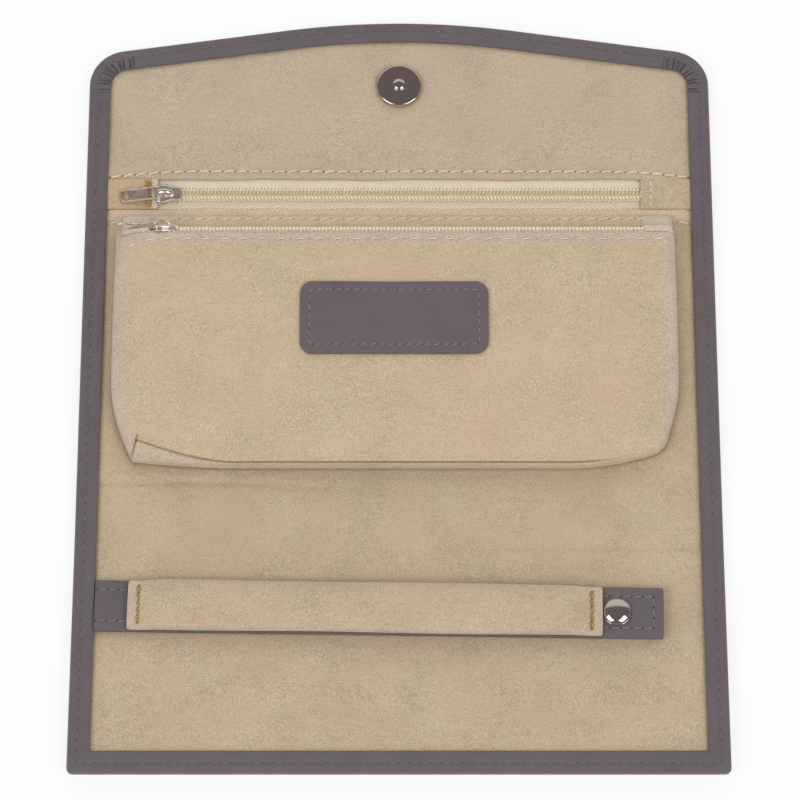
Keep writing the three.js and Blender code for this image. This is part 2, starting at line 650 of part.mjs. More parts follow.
function pouchSection() {
  const gusset = GUSSET_KNOTS.map((knot) => new THREE.Vector2(...knot).multiplyScalar(POUCH_BOTTOM_HEIGHT));
  const swell = new THREE.SplineCurve([
    ...gusset,
    new THREE.Vector2(POUCH_MIDDLE_RUN, POUCH_MIDDLE_HEIGHT),
    new THREE.Vector2(POUCH_CROWN_RUN, POUCH_CROWN_HEIGHT),
    new THREE.Vector2(POUCH_FRONT_LENGTH, POUCH_TOP_HEIGHT),
  ]);
  return [...swell.getPoints(SECTION_STEPS), new THREE.Vector2(POUCH_LENGTH, 0)];
}

// The pouch as a closed swell, grown by some amount all over and let down below its base
function pouchSwell(grow, letDown) {
  const section = pouchSection();
  const columns = 24;
  const power = 2 / POUCH_SQUARENESS;
  const count = columns + 1;
  const positions = [];
  const index = [];
  for (const upper of [true, false]) {
    for (const { x: run, y: height } of section) {
      const y = POUCH_BOTTOM + run - grow * Math.max(0, 1 - run / POUCH_FRONT_LENGTH);
      const halfWidth = pouchHalfWidth(run) + grow;
      for (let column = 0; column <= columns; column += 1) {
        const angle = Math.PI * (1 - column / columns);
        const across = Math.sign(Math.cos(angle)) * Math.abs(Math.cos(angle)) ** power;
        const rise = column % columns === 0 ? 0 : Math.sin(angle) ** power;
        const lift = upper ? Math.max(0, height + (height > 0 ? grow + letDown : 0)) * rise : 0;
        positions.push(POUCH_X + halfWidth * across, y, POUCH_BASE - letDown + lift);
      }
    }
  }
  const under = section.length * count;
  for (let row = 0; row + 1 < section.length; row += 1) {
    for (let column = 0; column < columns; column += 1) {
      const a = row * count + column;
      const b = a + count;
      index.push(a, a + 1, b + 1, a, b + 1, b);
      index.push(under + a, under + b + 1, under + a + 1, under + a, under + b, under + b + 1);
    }
  }
  const geometry = new THREE.BufferGeometry();
  geometry.setAttribute('position', new THREE.Float32BufferAttribute(positions, 3));
  geometry.setIndex(index);
  return geometry;
}

function addPouch(root) {
  const lip = -SLIDER_WIDTH / 2 - SEAT_GAP;
  const chain = POUCH_TOP_HEIGHT / Math.sin(ZIP_SLOPE) - POUCH_LIP + lip;
  const zip = new THREE.Group();
  const sink = new THREE.Vector2(Math.sin(ZIP_SLOPE), Math.cos(ZIP_SLOPE)).multiplyScalar(FACING_TOP);
  const chainY = POUCH_SEAM - chain * Math.cos(ZIP_SLOPE) - sink.x;
  zip.position.set(0, chainY, POUCH_BASE + chain * Math.sin(ZIP_SLOPE) - sink.y);
  zip.rotation.x = -ZIP_SLOPE;
  zip.updateMatrix();
  root.add(zip);

  const mouthLeft = POUCH_X - POUCH_HALF_WIDTH + POUCH_MOUTH_MARGIN;
  const mouthRight = POUCH_X + POUCH_HALF_WIDTH - POUCH_MOUTH_MARGIN;
  const mouth = block(mouthLeft, mouthRight, lip, POUCH_LENGTH, -RUN_ON / 2, RUN_ON).applyMatrix4(zip.matrix);
  const shell = cut(pouchSwell(0, 0), pouchSwell(-POUCH_WALL, POUCH_BACK), mouth);
  addPiece(root, 'pouch_front', shell, VELOUR_FINISH);

  const edge = (side) => pouchSection().map(({ x: run }) => (
    new THREE.Vector2(POUCH_X + side * pouchHalfWidth(run), POUCH_BOTTOM + run)
  ));
  const outline = new THREE.Shape([...edge(1), ...edge(-1).reverse()]);
  addPiece(root, 'pouch_back', slab(outline, POUCH_BACK_LOW, POUCH_BACK_LOW + POUCH_BACK), VELOUR_FINISH);

  const inside = pouchSwell(-POUCH_WALL - SEAT_GAP, 0).applyMatrix4(zip.matrix.clone().invert());
  const faceLeft = mouthLeft + SEAT_GAP;
  const faceRight = mouthRight - SEAT_GAP;
  const tabLeft = faceLeft + POUCH_END_TAB;
  const tabRight = faceRight - POUCH_END_TAB;
  addZip(zip, 'pouch', tabLeft, tabRight, (tape) => meet(tape, inside));
  const facingLow = SLIDER_WIDTH / 2 + SEAT_GAP;
  const facingHigh = chain - FACING_TOP;
  const facing = block(faceLeft, faceRight, facingLow, facingHigh, FACING_LOW, FACING_TOP);
  addPiece(zip, 'pouch_facing', facing, VELOUR_FINISH);
  const tabLow = lip + SEAT_GAP;
  const tabHigh = facingLow - SEAT_GAP;
  const leftTab = block(faceLeft, tabLeft, tabLow, tabHigh, FACING_LOW, FACING_TOP);
  const rightTab = block(tabRight, faceRight, tabLow, tabHigh, FACING_LOW, FACING_TOP);
  addPiece(zip, 'pouch_end_left', leftTab, VELOUR_FINISH);
  addPiece(zip, 'pouch_end_right', rightTab, VELOUR_FINISH);

  const patch = roundedRectangle(
    POUCH_X - LABEL_WIDTH / 2,
    POUCH_X + LABEL_WIDTH / 2,
    LABEL_Y - LABEL_LENGTH / 2,
    LABEL_Y + LABEL_LENGTH / 2,
    LABEL_CORNER,
  );
  const skin = cut(pouchSwell(LAYER_GAP + LABEL_THICKNESS, 0), pouchSwell(LAYER_GAP, POUCH_BACK));
  addPiece(root, 'pouch_label', meet(skin, slab(patch, POUCH_BASE, WIDTH)), LEATHER_FINISH);
}

// The strap's sewn end, beside the left hem, where its frame starts
const STRAP_START = HEM_WIDTH + SEAT_GAP - WIDTH / 2;
const STRAP_LOW = LINING_TOP + SEAT_GAP;
const STRAP_RISE = Math.atan2(STUD_LIFT, STUD_X);

function studPlace() {
  return {
    x: STRAP_START + STUD_X * Math.cos(STRAP_SKEW),
    y: STRAP_Y - STUD_X * Math.sin(STRAP_SKEW),
  };
}

// A swell of the ring bar, with flattened ends; its rings run along +X from one end to the other
function rollSwell(start, length, shrink, runOut) {
  const rings = [];
  const stations = 13;
  const sides = 16;
  for (let station = 0; station <= stations; station += 1) {
    const share = station / stations;
    const along = start + length * (0.5 - 0.5 * Math.cos(Math.PI * share));
    const fromEnd = Math.min(along - ROLL_START, ROLL_START + ROLL_LENGTH - along);
    const ease = Math.sin(Math.min(1, Math.max(0, fromEnd) / ROLL_TAPER) * Math.PI / 2);
    const height = ROLL_END_HEIGHT + (ROLL_HEIGHT - ROLL_END_HEIGHT) * ease - 2 * shrink;
    const x = along + runOut * (2 * share - 1);
    const ring = [];
    for (let side = 0; side < sides; side += 1) {
      const angle = 2 * Math.PI * side / sides;
      const y = (ROLL_WIDTH / 2 - shrink) * Math.cos(angle);
      const swell = Math.sign(Math.sin(angle)) * Math.abs(Math.sin(angle)) ** ROLL_FULLNESS;
      ring.push([x, y, shrink + height / 2 * (1 + swell)]);
    }
    rings.push(ring);
  }
  return loft(rings);
}

function addRingBar(frontParts) {
  const strap = new THREE.Group();
  strap.name = 'strap_hinge';
  strap.position.set(STRAP_START, STRAP_Y, STRAP_LOW + STRAP_THICKNESS);
  strap.rotation.set(0, -STRAP_RISE, -STRAP_SKEW, 'ZYX');
  frontParts.add(strap);

  const half = STRAP_WIDTH / 2;
  const band = softSlab(
    roundedRectangle(SEAT_GAP, STRAP_LENGTH, -half, half, STRAP_CORNER),
    -STRAP_THICKNESS,
    0,
    STRAP_THICKNESS / 4,
  );
  addPiece(strap, 'ring_strap', cut(band, rivetHole(STUD_X, 0)), LEATHER_FINISH);

  const roll = new THREE.Group();
  roll.position.z = SEAT_GAP;
  strap.add(roll);
  const outer = rollSwell(ROLL_START, ROLL_LENGTH, 0, 0);
  const inner = rollSwell(ROLL_START, ROLL_LENGTH, SLEEVE, SLEEVE);
  addPiece(roll, 'ring_roll_sleeve', cut(outer, inner), VELOUR_FINISH);
  const core = rollSwell(ROLL_START + CORE_SETBACK, ROLL_LENGTH - 2 * CORE_SETBACK, SLEEVE + CORE_GAP, 0);
  addPiece(roll, 'ring_roll_core', core, FOAM_FINISH);

  const stud = new THREE.Group();
  stud.position.x = STUD_X;
  strap.add(stud);
  const socketTop = -STRAP_THICKNESS - LAYER_GAP;
  const socketLow = socketTop - STUD_SOCKET_HEIGHT;
  const eye = POST_RADIUS + POST_CLEARANCE;
  const rivetLow = LAYER_GAP - STRAP_THICKNESS;
  const cap = revolve([
    [0, rivetLow],
    [RIVET_RADIUS, rivetLow],
    [RIVET_RADIUS, LAYER_GAP],
    [CAP_RADIUS - STUD_EDGE, LAYER_GAP],
    ...dome(CAP_RADIUS, LAYER_GAP + STUD_EDGE, LAYER_GAP + CAP_HEIGHT),
  ]);
  addPiece(stud, 'stud_cap', cap, METAL_FINISH);
  const socket = revolve([
    [eye, socketLow],
    [STUD_SOCKET_RADIUS - STUD_EDGE, socketLow],
    [STUD_SOCKET_RADIUS, socketLow + STUD_EDGE],
    [STUD_SOCKET_RADIUS, socketTop],
    [eye, socketTop],
    [eye, socketLow],
  ]);
  addPiece(stud, 'stud_socket', socket, METAL_FINISH);

  const place = studPlace();
  const post = new THREE.Group();
  post.position.set(place.x, place.y, LINING_TOP + LAYER_GAP);
  frontParts.add(post);
  const ball = POST_FLANGE_HEIGHT + STUD_SOCKET_HEIGHT - LAYER_GAP;
  const stem = INTERLINING_LOW - LINING_TOP - LAYER_GAP + WASHER_GAP;
  const postBody = revolve([
    [0, stem],
    [RIVET_RADIUS, stem],
    [RIVET_RADIUS, 0],
    [POST_FLANGE, 0],
    [POST_FLANGE, POST_FLANGE_EDGE],
    [POST_NECK, POST_FLANGE_HEIGHT],
    ...dome(POST_RADIUS, ball - POST_ROUND, ball),
  ]);
  addPiece(post, 'stud_post', postBody, METAL_FINISH);
}

const jewelryRoll = new THREE.Group();
jewelryRoll.name = 'jewelry_roll';

// The front's own frame: laid flat in the same coordinates, then tipped about its crease
const frontHinge = new THREE.Group();
frontHinge.name = 'front_hinge';
frontHinge.position.set(0, FRONT_CREASE, THICKNESS);
frontHinge.rotation.x = -FRONT_TIP;
jewelryRoll.add(frontHinge);
const frontParts = new THREE.Group();
frontParts.position.set(0, -FRONT_CREASE, -THICKNESS);
frontHinge.add(frontParts);

addPanels(jewelryRoll, frontParts);
addSnap(jewelryRoll, frontParts);
addPocketZip(jewelryRoll);
addPouch(jewelryRoll);
addRingBar(frontParts);

export default jewelryRoll;
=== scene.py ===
"""A leather jewelry roll lying open on a white table, with velour lining, zips, pouch, ring bar and snap."""
import json
import math

import bmesh
import bpy
import numpy as np
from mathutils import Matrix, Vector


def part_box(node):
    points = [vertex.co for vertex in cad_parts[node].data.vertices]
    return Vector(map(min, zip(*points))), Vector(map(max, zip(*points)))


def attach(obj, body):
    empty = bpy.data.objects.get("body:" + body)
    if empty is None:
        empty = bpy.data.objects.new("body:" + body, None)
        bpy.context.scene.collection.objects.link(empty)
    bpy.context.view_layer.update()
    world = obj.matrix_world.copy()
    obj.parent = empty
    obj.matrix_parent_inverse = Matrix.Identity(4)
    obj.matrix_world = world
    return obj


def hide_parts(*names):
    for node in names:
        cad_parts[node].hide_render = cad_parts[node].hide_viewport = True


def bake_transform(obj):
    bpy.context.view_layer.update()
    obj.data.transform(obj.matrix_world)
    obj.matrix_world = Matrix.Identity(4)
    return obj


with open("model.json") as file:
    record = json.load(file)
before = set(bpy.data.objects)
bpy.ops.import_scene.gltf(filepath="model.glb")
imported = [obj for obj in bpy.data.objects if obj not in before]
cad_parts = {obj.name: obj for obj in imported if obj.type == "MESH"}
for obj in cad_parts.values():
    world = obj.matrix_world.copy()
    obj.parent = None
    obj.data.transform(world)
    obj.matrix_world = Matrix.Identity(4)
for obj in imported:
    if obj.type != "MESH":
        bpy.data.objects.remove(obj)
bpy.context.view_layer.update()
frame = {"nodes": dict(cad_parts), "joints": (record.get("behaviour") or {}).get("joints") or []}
scene = bpy.context.scene
scene.view_settings.view_transform = "Standard"
MM = 0.001

# Table, lamps and camera
# The roll lies on a plain white table and is seen from its front edge, 20 degrees off straight down.
# Pale walls stand round it under a dark ceiling; soft lamps hang to its left, to its right and beyond it.


def linear(code):
    """The linear RGBA of an sRGB hex colour."""
    shares = np.array([int(code[start:start + 2], 16) for start in (1, 3, 5)]) / 255
    straight = np.where(shares <= 0.04045, shares / 12.92, ((shares + 0.055) / 1.055) ** 2.4)
    return (*straight.tolist(), 1.0)


def feed(node, sockets):
    """Gives a node's sockets values, or links them to other sockets or to the output another node has in use.

    Sockets go by name or number: Map Range has its limits from 1 to 4, and Mix its two colours at 6 and 7.
    """
    for key, value in sockets.items():
        if isinstance(value, bpy.types.Node):
            value = next(output for output in value.outputs if output.enabled)
        if isinstance(value, bpy.types.NodeSocket):
            node.id_data.links.new(value, node.inputs[key])
        else:
            node.inputs[key].default_value = value


def add(tree, kind, sockets=None, **settings):
    """Adds one node, with its settings, and feeds its sockets."""
    made = tree.nodes.new(kind)
    for name, value in settings.items():
        setattr(made, name, value)
    feed(made, sockets or {})
    return made


def new_material(name, sockets):
    """A material with plain values on its shader; returns it, its tree, the shader and Object coordinates."""
    material = bpy.data.materials.new(name)
    material.use_nodes = True
    tree = material.node_tree
    shader = tree.nodes["Principled BSDF"]
    feed(shader, sockets)
    return material, tree, shader, add(tree, "ShaderNodeTexCoord").outputs["Object"]


def points_at(x, y, z):
    """Points from their X, Y and Z, each a number or an array."""
    return np.stack(np.broadcast_arrays(x, y, z), axis=-1)


def grid_faces(rows, columns, around=False):
    """Quads between the points of a grid; they face up where columns run along +X and rows along +Y."""
    index = np.arange(rows * columns).reshape(rows, columns)
    if around:
        index = np.hstack([index, index[:, :1]])
    return np.stack([index[:-1, :-1], index[:-1, 1:], index[1:, 1:], index[1:, :-1]], axis=-1).reshape(-1, 4)


WELD = 0.002


def make_piece(name, points, faces, material, weld=False, smooth=True, marks=None):
    """An object at the origin from points in mm and a list of face arrays.

    Weld merges doubled points and turns the faces outwards. Marks are named values, one for each point.
    """
    mesh = bpy.data.meshes.new(name)
    corners = np.concatenate([part.ravel() for part in faces])
    sizes = np.concatenate([np.full(len(part), part.shape[1]) for part in faces])
    points = points.reshape(-1, 3) * MM
    mesh.vertices.add(len(points))
    mesh.vertices.foreach_set("co", points.astype(np.float32).ravel())
    mesh.loops.add(len(corners))
    mesh.loops.foreach_set("vertex_index", corners.astype(np.int32))
    mesh.polygons.add(len(sizes))
    mesh.polygons.foreach_set("loop_start", (np.cumsum(sizes) - sizes).astype(np.int32))
    mesh.update(calc_edges=True)
    for mark, values in (marks or {}).items():
        layer = mesh.attributes.new(mark, "FLOAT", "POINT")
        layer.data.foreach_set("value", values.astype(np.float32).ravel())
    if weld:
        work = bmesh.new()
        work.from_mesh(mesh)
        bmesh.ops.remove_doubles(work, verts=work.verts, dist=WELD * MM)
        bmesh.ops.recalc_face_normals(work, faces=work.faces)
        work.to_mesh(mesh)
        work.free()
    mesh.polygons.foreach_set("use_smooth", np.full(len(mesh.polygons), smooth))
    mesh.materials.append(material)
    piece = bpy.data.objects.new(name, mesh)
    scene.collection.objects.link(piece)
    return piece


# Painted board: matt white, seen as white by the camera and in mirrors, and shaded under the roll.
TABLE_GLOW = 0.8
paint = {"Base Color": linear("#f7f7f7"), "Roughness": 0.9}
board, tree, shader, place = new_material("matt_white_board", paint)
ray = add(tree, "ShaderNodeLightPath").outputs
seen = add(tree, "ShaderNodeMath", {0: ray["Is Camera Ray"], 1: ray["Is Glossy Ray"]}, operation="MAXIMUM")
share = add(tree, "ShaderNodeMath", {0: seen, 1: TABLE_GLOW}, operation="MULTIPLY")
glow = add(tree, "ShaderNodeEmission", {"Color": (1, 1, 1, 1), "Strength": 1.0})
mixed = add(tree, "ShaderNodeMixShader", {0: share, 1: shader, 2: glow})
feed(tree.nodes["Material Output"], {"Surface": mixed})
TABLE_HALF = 2500
TABLE_TOP = -0.2
corners = np.array([[-1, -1], [1, -1], [-1, 1], [1, 1]]) * TABLE_HALF
table = make_piece("table", points_at(*corners.T, TABLE_TOP), [grid_faces(2, 2)], board, smooth=False)

room = bpy.data.worlds.new("room")
scene.world = room
room.use_nodes = True
tree = room.node_tree
way = add(tree, "ShaderNodeSeparateXYZ", {0: add(tree, "ShaderNodeTexCoord").outputs["Generated"]}).outputs
walls = add(tree, "ShaderNodeMapRange", {0: way["Z"], 1: 0.45, 2: 0.8, 3: 0.95, 4: 0.12})
# Metal mirrors the room as dark screens beside the camera leave it: dim, with only the far wall lit.
far = add(tree, "ShaderNodeMapRange", {0: way["Y"], 1: 0.5, 2: 0.62})
near_tone, far_tone = linear("#6f6565"), linear("#d2cdc4")
dim = add(tree, "ShaderNodeMix", {0: far, 6: near_tone, 7: far_tone}, data_type="RGBA")
glossy = add(tree, "ShaderNodeLightPath").outputs["Is Glossy Ray"]
tone = add(tree, "ShaderNodeMix", {0: glossy, 6: walls, 7: dim}, data_type="RGBA")
feed(tree.nodes["Background"], {"Color": tone})

# Each lamp's place in metres and its power in watts
LAMPS = {
    "lamp_left": (-1.0, -0.7, 1.5, 12.5),
    "lamp_right": (1.0, -0.7, 1.5, 12.2),
    "lamp_far": (0, 1.2, 1.3, 5.6),
}
LAMP_SIZE = 1.1
for name, (x, y, z, power) in LAMPS.items():
    lamp = bpy.data.lights.new(name, "AREA")
    lamp.shape = "SQUARE"
    lamp.size = LAMP_SIZE
    lamp.energy = power
    stand = bpy.data.objects.new(name, lamp)
    stand.location = (x, y, z)
    stand.rotation_euler = (math.atan2(math.hypot(x, y), z), 0, math.atan2(x, -y))
    stand.visible_glossy = name != "lamp_far"
    scene.collection.objects.link(stand)

lens = bpy.data.cameras.new("camera")
lens.sensor_width = 36
lens.lens = 156.7
camera = bpy.data.objects.new("camera", lens)
camera.location = (0.00033, -0.3963, 1.0769)
camera.rotation_euler = (math.radians(20), 0, 0)
scene.collection.objects.link(camera)
scene.camera = camera

# Leather cover
# One piece of smooth calf leather, turned over the edge of the lining as a hem and sewn down all round.
# It folds at four creases, so it is made in four lengths that meet in the middle of a panel or spine.
FOLD = {
    joint["name"]: [1000 * value for value in joint["pos_m"]]
    for joint in frame["joints"] if "pos_m" in joint
}
FLAP_FOLD = FOLD["flap_fold"][1]
TOP_FOLD = FOLD["top_spine_fold"][1]
BACK_FOLD = FOLD["bottom_spine_fold"][1]
FRONT_FOLD = FOLD["front_fold"][1]
THICK = FOLD["flap_fold"][2]
HALF = 1000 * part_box("back_cover")[1].x
TIP = 1000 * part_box("flap_cover")[1].y
FLAP_MIDDLE = TIP - 26
FRONT_EDGE = -TIP
FRONT_MIDDLE = FRONT_EDGE + 22
TOP_MIDDLE = (FLAP_FOLD + TOP_FOLD) / 2
BACK_MIDDLE = (TOP_FOLD + BACK_FOLD) / 2
BOTTOM_MIDDLE = (BACK_FOLD + FRONT_FOLD) / 2
HEM = 7.2
STITCH_INSET = 3.2
SKIN = 0.8
FLAP_CORNER = 13
SHOULDER = math.radians(8)
CREST = 276
CREST_Y = TIP - CREST
CORNER_X = HALF - FLAP_CORNER
CORNER_Y = CREST_Y + (CREST - FLAP_CORNER - CORNER_X * math.sin(SHOULDER)) / math.cos(SHOULDER)
PLEAT_REACH = 6.0
PLEAT_PAST = 4.2
PLEAT_PITCH = 1.75
SIDE_STEPS, PLEAT_STEPS, CORNER_STEPS = 48, 44, 110
strap_axis = next(joint["axis"] for joint in frame["joints"] if joint["name"] == "strap_lift")
FRONT_TIP = -math.asin(strap_axis[2])

# Calf leather, drum-dyed mauve grey and lightly waxed: a fine pebbled grain and a low, broad shine.
wax = {"Specular IOR Level": 0.42, "Sheen Weight": 0.05}
leather, tree, shader, place = new_material("waxed_calf_leather", wax)
cloud = add(tree, "ShaderNodeTexNoise", {"Vector": place, "Scale": 1 / (9 * MM), "Detail": 4.0})
dark, light = linear("#5c5457"), linear("#6a6265")
tone = add(tree, "ShaderNodeMix", {0: cloud, 6: dark, 7: light}, data_type="RGBA")
pebble = add(tree, "ShaderNodeTexVoronoi", {"Vector": place, "Scale": 1 / (0.7 * MM)})
fine = add(tree, "ShaderNodeTexNoise", {"Vector": place, "Scale": 1 / (0.45 * MM), "Detail": 3.0})
both = {0: pebble, 1: 0.5, 2: fine}
grain = add(tree, "ShaderNodeMath", both, operation="MULTIPLY_ADD")
raised = add(tree, "ShaderNodeBump", {"Height": grain, "Distance": 0.05 * MM, "Strength": 0.8})
gloss = add(tree, "ShaderNodeMapRange", {0: fine, 1: 0.3, 2: 0.7, 3: 0.42, 4: 0.56})
feed(shader, {"Base Color": tone, "Normal": raised, "Roughness": gloss})


def line(start, end, count):
    """Evenly spaced points from start up to, and without, end."""
    share = np.arange(count)[:, None] / count
    return np.array(start) + (np.array(end) - np.array(start)) * share


def arc(x, y, radius, start, end, count):
    """Points round a centre, evenly turned from the start angle up to, and without, the end angle."""
    angle = start + (end - start) * np.arange(count) / count
    return np.stack([x + radius * np.cos(angle), y + radius * np.sin(angle)], axis=-1)


def flap_outline(inset):
    """The flap's edge drawn in by an inset: up the left side, over the crest, and down the right side.

    The points are close together at the corners and just past them, where the hem is pleated.
    """
    side = HALF - inset
    corner = FLAP_CORNER - inset
    turn = np.array([-math.sin(SHOULDER), math.cos(SHOULDER)])
    slope = np.array([math.cos(SHOULDER), math.sin(SHOULDER)])
    left, right = math.pi / 2 + SHOULDER, math.pi / 2 - SHOULDER
    shoulder = np.array([-CORNER_X, CORNER_Y]) + corner * turn
    crest = np.array([0, CREST_Y]) + (CREST - inset) * turn
    rise = np.concatenate([
        line((-side, TOP_MIDDLE), (-side, CORNER_Y - PLEAT_REACH), SIDE_STEPS),
        line((-side, CORNER_Y - PLEAT_REACH), (-side, CORNER_Y), PLEAT_STEPS),
        arc(-CORNER_X, CORNER_Y, corner, math.pi, left, CORNER_STEPS),
        line(shoulder, shoulder + PLEAT_REACH * slope, PLEAT_STEPS),
        line(shoulder + PLEAT_REACH * slope, crest, 40),
        arc(0, CREST_Y, CREST - inset, left, math.pi / 2, 28),
    ])
    return np.concatenate([rise, [(0, CREST_Y + CREST - inset)], rise[::-1] * [-1, 1]])


def front_outline(inset):
    """The front's edge drawn in by an inset: down the right side, along the front, and up the left side."""
    side = HALF - inset
    corner = max(2 - inset, 0.15)
    x = side - corner
    y = FRONT_EDGE + inset + corner
    return np.concatenate([
        line((side, BOTTOM_MIDDLE), (side, y), 110),
        arc(x, y, corner, 0, -math.pi / 2, 12),
        line((x, y - corner), (-x, y - corner), 120),
        arc(-x, y, corner, -math.pi / 2, -math.pi, 12),
        line((-side, y), (-side, BOTTOM_MIDDLE), 110),
        [(-side, BOTTOM_MIDDLE)],
    ])


def hem_height(inset):
    """The hem's upper face: level, with a narrow valley at the stitches, and lower at its cut edge."""
    valley = 0.34 * np.exp(-((inset - STITCH_INSET) / 0.75) ** 2)
    return THICK - valley - 0.2 * np.clip((inset - 4.6) / (HEM - 4.6), 0, 1) ** 2


# The hem's section from its cut edge outwards, round the turned edge, and back under: insets and heights
EDGE_ROUND = 1.9
hem_insets = np.linspace(HEM - 0.15, EDGE_ROUND, 17)
edge_turn = np.linspace(math.pi / 2, -math.pi / 2, 15)[1:]
edge_insets = EDGE_ROUND * (1 - np.abs(np.cos(edge_turn)) ** 0.8)
edge_heights = THICK / 2 * (1 + np.sign(np.sin(edge_turn)) * np.abs(np.sin(edge_turn)) ** 0.8)
under_insets = np.linspace(EDGE_ROUND, 6.4, 9)[1:]
under_heights = 0.2 * np.exp(-((under_insets - STITCH_INSET) / 0.7) ** 2)
SECTION_INSET = np.concatenate([[HEM, HEM + 0.04, HEM - 0.02], hem_insets, edge_insets, under_insets])
SECTION_HEIGHT = np.concatenate([[2.86, 3.3, 3.62], hem_height(hem_insets), edge_heights, under_heights])
HEM_POINTS = 3 + len(hem_insets)
UNDER_SHARES = np.array([0.05, 0.12, 0.25, 0.4, 0.6, 0.8, 1.0])


def ease(value):
    """0 below 0, 1 above 1, and a smooth S between."""
    value = np.clip(value, 0, 1)
    return value * value * (3 - 2 * value)


def bump(distance, width):
    """1 at no distance, falling as a bell over a width."""
    return np.exp(-(distance / width) ** 2)


def tip_front(points):
    """Turns all that lies past the front crease up by the front's tip, easing in over 6 mm at the crease."""
    y = points[..., 1] - FRONT_FOLD
    z = points[..., 2] - THICK
    angle = -FRONT_TIP * ease(0.5 - y / 6)
    tipped = points.copy()
    tipped[..., 1] = FRONT_FOLD + y * np.cos(angle) - z * np.sin(angle)
    tipped[..., 2] = THICK + y * np.sin(angle) + z * np.cos(angle)
    return tipped


def thicken(piece, thickness):
    """Gives a sheet a thickness in mm, inwards, and keeps its shading apart from that of its cut edges."""
    mesh = piece.data
    sides = np.empty(len(mesh.loops), np.int32)
    mesh.loops.foreach_get("edge_index", sides)
    mesh.edges.foreach_set("use_edge_sharp", np.bincount(sides, minlength=len(mesh.edges)) == 1)
    wall = piece.modifiers.new("thickness", "SOLIDIFY")
    wall.thickness = thickness * MM
    wall.offset = -1
    return piece


def turned_cover(name, outline, middle, lift=None):
    """The hem's section carried round an outline and on under the panel to its middle; lift raises it."""
    band = np.stack([outline(inset) for inset in SECTION_INSET], axis=1)
    height = np.broadcast_to(SECTION_HEIGHT, band.shape[:2]).copy()
    if lift is not None:
        height += lift(band)
    last = band[:, -1]
    target = np.stack([np.zeros(len(last)), middle(last[:, 1])], axis=-1)
    under = last[:, None] + (target - last)[:, None] * UNDER_SHARES[None, :, None]
    plan = np.concatenate([band, under], axis=1)
    height = np.concatenate([height, np.zeros(under.shape[:2])], axis=1)
    points = tip_front(np.dstack([plan, height]))
    faces = grid_faces(*points.shape[:2])[:, ::-1]
    return thicken(make_piece(name, points, [faces], leather, weld=True), SKIN)


def run_along(path):
    """The distance covered along a path at each of its points."""
    return np.concatenate([[0], np.cumsum(np.linalg.norm(np.diff(path, axis=0), axis=1))])


def corner_pleats(band):
    """Pleats that fan across the hem at the flap's corners: narrow valleys, swollen between.

    They start at the stitches, one at each pitch along the hem's middle line, a little unevenly.
    """
    lift = np.zeros(band.shape[:2])
    depth = ease((SECTION_INSET - 2.7) / 1.8) * (np.arange(len(SECTION_INSET)) < HEM_POINTS)
    edge = band[:, np.argmin(np.abs(SECTION_INSET - 5.2))]
    run = run_along(edge)
    first = SIDE_STEPS + PLEAT_STEPS
    last = first + CORNER_STEPS
    for low, high in ((first, last), (len(run) - 1 - last, len(run) - 1 - first)):
        start, end = run[low] - PLEAT_PAST, run[high] + PLEAT_PAST
        inside = ease((run - start) / 2.0) * ease((end - run) / 2.0)
        turn = ((run - start) / PLEAT_PITCH + 0.22 * np.sin(run * 1.9)) % 1.0 - 0.5
        fold = -0.16 * np.cos(2 * math.pi * turn) - 0.62 * bump(turn, 0.11)
        lift += (fold * inside)[:, None] * depth[None, :]
    return lift


def strip_cover(name, low, high, rows):
    """The hem's section at both sides of a straight length, joined under it, and drawn out along Y."""
    half_x = np.concatenate([HALF - SECTION_INSET, (HALF - SECTION_INSET[-1]) * (1 - UNDER_SHARES)])
    half_z = np.concatenate([SECTION_HEIGHT, np.zeros(len(UNDER_SHARES))])
    x = np.concatenate([-half_x, half_x[-2::-1]])
    z = np.concatenate([half_z, half_z[-2::-1]])
    y = np.linspace(low, high, rows)
    points = points_at(x, y[:, None], z)
    faces = grid_faces(*points.shape[:2])[:, ::-1]
    return thicken(make_piece(name, tip_front(points), [faces], leather), SKIN)


def fold_at():
    """A function that bakes a piece's place into its mesh."""
    return lambda piece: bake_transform(piece)


def seat(piece, fix, slot, *nodes):
    """Joins a piece to its body by fix and hides the nodes it replaces; slot is not used."""
    fix(piece)
    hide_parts(*nodes)
    return piece


fold_flap = fold_at()
fold_top = fold_at()
fold_back = fold_at()
fold_front = fold_at()
cover_flap = turned_cover("cover_flap", flap_outline, lambda y: np.minimum(y, FLAP_MIDDLE), corner_pleats)
cover_back_upper = strip_cover("cover_back_upper", BACK_MIDDLE, TOP_MIDDLE, 76)
cover_back_lower = strip_cover("cover_back_lower", BOTTOM_MIDDLE, BACK_MIDDLE, 80)
cover_front = turned_cover("cover_front", front_outline, lambda y: np.maximum(y, FRONT_MIDDLE))
seat(cover_flap, fold_flap, "leather", "flap_cover", "top_spine_cover")
seat(cover_back_upper, fold_top, "leather", "back_cover")
seat(cover_back_lower, fold_back, "leather", "bottom_spine_cover")
seat(cover_front, fold_front, "leather", "front_cover")

# Hem stitches
# A lockstitch of mauve-brown polyester thread runs 3 mm from the edge, through hem, lining and cover.
# It shows on both faces, with a needle hole between each two stitches.


